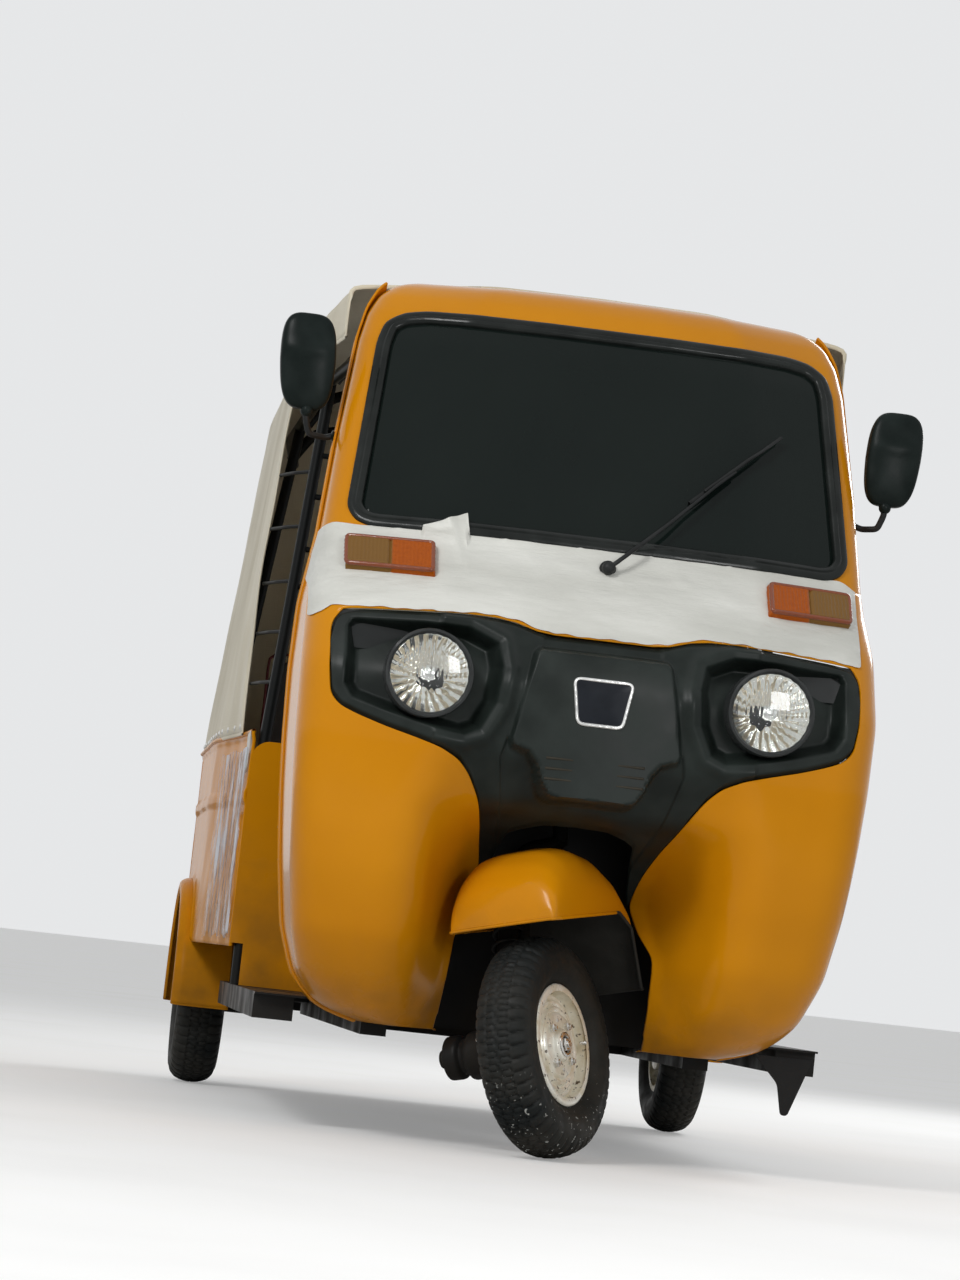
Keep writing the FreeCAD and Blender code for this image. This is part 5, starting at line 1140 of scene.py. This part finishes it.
# Steering details: a coil spring round the front damper with its two seats, the drum's bracket and its bolts, and
# the hub's outer boss.
DAMPER_X, SPRING_TURNS = -90.0, 8.5
spring_low = np.array([DAMPER_X, *FRONT_HUB[1:]]) + (0, -6, 10)
crown = STEER_FOOT + AXIS * 640
spring_high = np.array([DAMPER_X, crown[1], crown[2] - 4]) + (0, -42, -60)
long = np.linalg.norm(spring_high - spring_low)
line = (spring_high - spring_low) / long
aside = unit(np.cross(line, (1.0, 0, 0)))
other = np.cross(line, aside)
turns = np.linspace(0, 1, 420)[:, None]
coil_turn = turns * 2 * np.pi * SPRING_TURNS
coil = spring_low + line * (55 + (long - 105) * turns) + 26 * (aside * np.cos(coil_turn) + other * np.sin(coil_turn))
add_piece("damper_spring", [at_rest(carried(coil, round_profile(4.4, 10), line))], tube_black,
          "steering", outward=True)
SPRING_SEAT = np.array([(21, -3), (33, -3), (35, 0), (33, 3), (21, 3)], float)[:, None]
angle = full_turn(41)[None, :, None]
arms = aside * np.cos(angle) + other * np.sin(angle)
seats = [spring_low + line * near + arms * SPRING_SEAT[..., :1] + line * SPRING_SEAT[..., 1:]
         for near in (46, long - 42)]
add_piece("spring_seats", [at_rest(seat) for seat in seats], chassis_black, "steering", outward=True)
BRACKET = [(-1178, 190), (-1178, 250), (-1100, 262), (-990, 285), (-985, 262), (-1090, 186)]
plate_edge = rounded_loop(BRACKET, 26, 60)
plate_rows = np.stack([xyz(x, plate_edge[:, 0], plate_edge[:, 1]) for x in (-105.5, -109.5)])
plate_mid = plate_rows[1].mean(0)
plate_face = plate_mid + (plate_rows[1][None] - plate_mid) * np.linspace(1, 0.02, 8)[:, None, None]
add_piece("drum_bracket", [at_rest(plate_rows), at_rest(plate_face)], chassis_black, "steering",
          outward=True)
LINK_BOLTS = [(-1122.5, 208, 30), (-1002, 268, 24), (-1160, 236, 13), (-1150, 204, 13)]  # Y, Z, across the flats
heads = [hexagons([(0, 0, 0)], size, 8)[0] * (-1, 1, 1) + (-109, y, z) for y, z, size in LINK_BOLTS]
add_piece("link_bolts", [at_rest(head) for head in heads], nut_steel, "steering", outward=True, angle=25)
BOSS = [(-108, 38), (-116, 45), (-146, 46), (-152, 38), (-162, 33), (-170, 42), (-194, 42), (-200, 30), (-203, 19),
        (-213, 17), (-215, 0.5)]
boss = spun(smoothed(BOSS, 2, 36), 32) + (0, FRONT_HUB[1], 208)
add_piece("link_boss", [at_rest(boss)], chassis_black, "steering", outward=True)

# Seats: grey vinyl pads with crowned faces, drawn in along sewn channels, with maroon piping round their edges.
# A pad's face is given as its axis, the axis across the channels, the axis along them, and its sign.
vinyl = Finish("seat_vinyl", (0.055, 0.056, 0.06), 0.45)
tone = vinyl.between(vinyl.noise(5, 5), 0.35, 0.7)
vinyl.put(base_color=vinyl.mixed(tone, (0.05, 0.052, 0.056), (0.085, 0.085, 0.088)))
vinyl.put(roughness=vinyl.between(tone, 0, 1, 0.38, 0.6))
vinyl.bump(vinyl.noise(420, 3), 0.4, 0.0006)
maroon = Finish("maroon_vinyl", (0.12, 0.01, 0.014), 0.5, tint=(12, 5, (0.09, 0.008, 0.011), (0.16, 0.016, 0.02)))
maroon.bump(maroon.noise(400, 3), 0.4, 0.0006)


def pad(low, high, face, crown, channels):
    """A closed pad: a cube's six grids pushed to a superellipsoid, its face crowned and drawn in along channels."""
    up, over, along, facing = face
    low, high = np.array(low, float) + 2, np.array(high, float) - 2
    middle, half = (low + high) / 2, (high - low) / 2
    patches = []
    for k in range(3):
        a, b = [i for i in range(3) if i != k]
        counts = np.clip((half[[a, b]] / 6).astype(int), 16, 110)
        u, v = np.meshgrid(np.linspace(-1, 1, counts[0]), np.linspace(-1, 1, counts[1]), indexing="ij")
        u, v = np.sin(u * np.pi / 2), np.sin(v * np.pi / 2)
        for sign in (-1, 1):
            cube = np.zeros(u.shape + (3,))
            cube[..., a], cube[..., b], cube[..., k] = u, v, sign
            shape = cube / (abs(cube) ** 9).sum(-1, keepdims=True) ** (1 / 9)
            point = middle + shape * half
            flat = np.clip(1 - abs(shape[..., over]) ** 3, 0, 1) * np.clip(1 - abs(shape[..., along]) ** 3, 0, 1)
            top = step(shape[..., up] * facing, 0.2, 0.95)
            line = sum(hump(point[..., over], c, 7.0) for c in channels)
            puckers = 0.8 * np.sin(point[..., along] * 0.16 + point[..., over] * 0.02) * line
            drawn = (6.5 * line + puckers) * np.clip(flat * 3, 0, 1)
            point[..., up] += facing * top * (crown * flat - crown + 0.5 - drawn)
            patches.append(point if (sign > 0) == (k != 1) else point[:, ::-1])
    return patches


def piping(low, high, level, face):
    """A cord sewn round the pad's rim at a level along the face direction."""
    low, high = np.array(low, float) + 1, np.array(high, float) - 1
    a, b = [i for i in range(3) if i != face]
    corners = rounded_loop([(low[a], low[b]), (high[a], low[b]), (high[a], high[b]), (low[a], high[b])], 42, 150)
    path = np.zeros((len(corners), 3))
    path[:, a], path[:, b], path[:, face] = corners[:, 0], corners[:, 1], level
    outside = np.zeros(3)
    outside[face] = 1
    return carried(path[:-1], round_profile(3.4, 10), outside, closed=True)


BENCH = (-333, -166, 0, 166, 333)
PADS = [("driver_seat", (2, 0, 1, 1), 7, (-128, 0, 128)), ("rear_seat_cushion", (2, 0, 1, 1), 9, BENCH),
        ("rear_backrest", (1, 0, 2, -1), 8, BENCH)]
for name, face, crown, channels in PADS:
    low, high = (np.array(c) * 1000 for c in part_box(name))
    cushion = add_piece(f"{name}_pad", pad(low, high, face, crown, channels), vinyl, outward=True,
                        angle=60)
    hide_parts(name)
    level = (high[2] - 16) if face[0] == 2 else low[1] + 15
    add_piece(f"{name}_piping", [piping(low, high, level, face[0])], maroon, outward=True)

# Tail lamps: red housings with an amber third above and a clear third below, split by two grooves and ribbed
# upright.
lamp_red = Finish("tail_lens", (0.45, 0.01, 0.008), 0.12, coat_weight=0.6)
above_z = lamp_red.between(lamp_red.part("Z"), 0.6815, 0.6825)
below_z = lamp_red.between(lamp_red.part("Z"), 0.6185, 0.6175)
red = lamp_red.mixed(lamp_red.noise(90, 3), (0.35, 0.006, 0.006), (0.5, 0.014, 0.01))
lamp_red.put(base_color=lamp_red.mixed(below_z, lamp_red.mixed(above_z, red, (0.42, 0.1, 0.005)), (0.6, 0.6, 0.58)))
u, v = np.meshgrid(*[np.sin(np.linspace(-np.pi / 2, np.pi / 2, count)) for count in (48, 100)])
z = 652.5 + 92.5 * v
inward = np.minimum(35 * (1 - abs(u)), 92.5 * (1 - abs(v))).clip(0, 10)
grooves = 2.2 * (hump(z, 618, 1.6) + hump(z, 682, 1.6))
for side, hand in HANDS:
    x = side * 490 + 35 * u
    out = 31.5 * np.sqrt(np.clip(1 - (1 - inward / 10) ** 2, 0, 1)) ** 0.7
    out = out - grooves - 0.5 * abs(np.sin(x * 0.9)) * (inward > 8)
    lens = xyz(x, 1242.6 + out, z)
    lamp = add_piece(f"tail_lens_{hand}", [lens[:, ::-1]], lamp_red, angle=50)
    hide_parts(f"tail_lamp_{hand}")

# Floor mat and lid fixings: ribbed rubber in the passenger doorway with its four edges turned down, and a latch with
# four screws on the engine lid.
MAT_FOOT = 250.4
mat_rubber = black_plastic("mat_rubber", (0.012, 0.012, 0.012), (0.6, 0.9), 160, 0.0008)
x, y = np.meshgrid(np.linspace(-525, 525, 351), np.linspace(-108, 462, 12), indexing="ij")
mat = xyz(x, y, 252.8 + 1.6 * step(abs((x / 12.0) % 1 - 0.5), 0.18, 0.32))
skirt = [np.stack([edge, edge * (1, 1, 0) + (0, 0, MAT_FOOT)][::way])
         for edge, way in ((mat[0], 1), (mat[-1], -1), (mat[:, 0], -1), (mat[:, -1], 1))]
add_piece("passenger_mat", [mat] + skirt, mat_rubber, outward=True)
latch = domes([(0, 1245.5, 428)], 17, 6, (0, 1, 0)) + domes([(0, 1245.5, 428)], 7, 11, (0, 1, 0))
latch += domes([(x, 1249, z) for x in (-270, 270) for z in (432, 698)], 6, 3, (0, 1, 0))
add_piece("lid_latch", latch, nut_steel, "engine_lid")


# Handlebar fittings: ribbed rubber grips, two cast levers with their clamps, and a round speedometer with plain marks
# and a needle.
def on_axis(along, forward=0.0, side=0.0):
    """Point by its distance up the steering axis, ahead of it and to the left of it."""
    return STEER_FOOT + AXIS * along + np.array([0, -np.cos(RAKE), np.sin(RAKE)]) * forward + np.array([side, 0, 0])


BAR, DIAL = 1060, 1106  # distances up the axis
bar_end = on_axis(BAR, -150)
grip_rubber = black_plastic("grip_rubber", (0.012, 0.012, 0.012), (0.6, 0.8), 200, 0.0006)
lengthwise = np.linspace(202, 336, 100)
grip_radius = 17.0 + 0.8 * step(np.sin(lengthwise * 0.9), -0.2, 0.2) + 3.5 * hump(lengthwise, 206, 2.5)
grip = spun(np.concatenate([[(202, 11.2)], xyz(lengthwise, grip_radius), [(338, 15), (340, 9), (340, 0.3)]]), 24)
grips = [at_rest(grip * (side, 1, 1) + bar_end) for side in (-1, 1)]
add_piece("bar_grips", grips, grip_rubber, "steering", outward=True, angle=45)
LEVER = [(178, -138), (196, -112), (236, -98), (300, -100), (336, -108)]  # sideways, forward
CLAMP = [(168, 10.8), (168, 15), (170, 16.5), (190, 16.5), (192, 15), (192, 10.8)]
levers = []
for side in (-1, 1):
    path = smoothed([on_axis(BAR, forward, side * out) for out, forward in LEVER], 12, 70)
    levers.append(at_rest(capped(path, 4.6, (0, 0, 1), 12)))
    levers.append(at_rest(spun(CLAMP, 28) * (side, 1, 1) + bar_end + (0, 2, 0)))
add_piece("bar_levers", levers, cast_metal, "steering", outward=True)
BEZEL = np.array([(45, -2), (45, 9), (43.5, 11.5), (39, 12), (37.5, 9), (37, 4)], float)[:, None]
dial_turn = full_turn(73)[None, :, None]
axis_line, ahead_line = on_axis(1) - on_axis(0), on_axis(0, 1) - on_axis(0)
round_arm = np.array([1.0, 0, 0]) * np.cos(dial_turn) + ahead_line * np.sin(dial_turn)
bezel = on_axis(DIAL) + round_arm * BEZEL[..., :1] + axis_line * BEZEL[..., 1:]
add_piece("dial_bezel", [at_rest(bezel)], ring_black, "steering", outward=True)
disc = on_axis(DIAL) + round_arm * np.linspace(37.4, 0.3, 14)[:, None, None] + axis_line * 4.5
add_piece("dial_face", [at_rest(disc)], deep_gloss, "steering", outward=True)


def tick(angle, near, far, wide, lift):
    """A flat stroke on the dial, from near to far along a ray at an angle."""
    arm = np.array([np.cos(angle), 0, 0]) + ahead_line * np.sin(angle)
    across = np.cross(axis_line, arm)
    return at_rest(np.stack([np.stack([on_axis(DIAL) + arm * r + across * w * wide + axis_line * lift
                                       for w in (-1, 1)]) for r in (near, far)]))


marks = [tick(angle, 26, 33, 0.9, 5.1) for angle in np.radians(np.arange(-30, 211, 24))]
dial_white = Finish("dial_marks", (0.8, 0.8, 0.78), 0.5, tint=(300, 2, (0.78, 0.78, 0.75), (0.84, 0.84, 0.8)))
add_piece("dial_marks", marks + [tick(3.4, -6, 28, 1.2, 5.6)], dial_white, "steering", thick=0.3,
          outward=True)

# Guard bars: slim black rods from the door post to the hood's right side, above the side panel. Each one bows a
# little outward.
bars = []
for z, canvas_x in ((900, 579), (1010, 578), (1120, 577), (1240, 576), (1360, 568)):
    post_x = 545 - 58 * (z - 730) / 830
    path = smoothed([(-post_x, -107, z), (-(post_x + canvas_x) / 2 - 4, -40, z), (-canvas_x, 44, z)], 8, 24)
    bars.append(capped(path, 4.2, (0, 0, 1), 12))
add_piece("guard_bars", bars, tube_black, outward=True)

# Wrapping left on the right side panel: a thin clear film in upright creases with painted blue-white highlight streaks,
# and a torn white scrap over its corner.
# Both follow the panel's plan line.
wrap_clear = Finish("wrap_film", (0.72, 0.76, 0.84), 0.1)
highlight_streaks = wrap_clear.noise(30, 5, (1, 1, 0.14))
# painted highlights: in upright streaks the film's colour goes pale blue-white and its opacity rises, standing in for
# reflections on its creases
wrap_clear.put(base_color=wrap_clear.mixed(highlight_streaks, (0.62, 0.66, 0.74), (0.88, 0.9, 0.95)))
wrap_clear.put(alpha=wrap_clear.between(highlight_streaks, 0.5, 0.66, 0.06, 0.8))
wrap_clear.put(roughness=wrap_clear.between(highlight_streaks, 0.4, 0.7, 0.05, 0.2))
wrap_clear.bump(highlight_streaks, 0.8, 0.004)


def wrapping(low_y, high_y, low_z, high_z, rows, columns, depth):
    """A patch beside the right panel: the plan line carried up, pushed out by upright creases and a torn edge."""
    v, u = np.meshgrid(np.linspace(0, 1, rows), np.linspace(0, 1, columns), indexing="ij")
    y = low_y + (high_y - low_y) * u + 5 * np.sin(v * 17) * (u > 0.9) * u
    z = low_z + (high_z - low_z) * v + 7 * np.sin(u * 23 + 1) * (1 - v) + 4 * np.sin(u * 13) * v
    crease = abs(np.sin(y * 0.075 + 1.3 * np.sin(z * 0.012))) + 0.5 * abs(np.sin(y * 0.21 - z * 0.01))
    return xyz(-(read(plan, y) + 5.2 + depth * crease), y, z)


add_piece("side_wrap", [wrapping(-112, 300, 350, 752, 48, 90, 4.5)[:, ::-1]], wrap_clear, thick=0.4, angle=70)
add_piece("side_scrap", [wrapping(-114, -52, 706, 786, 24, 24, 2.0)[:, ::-1]], film_white, thick=0.6, angle=70)
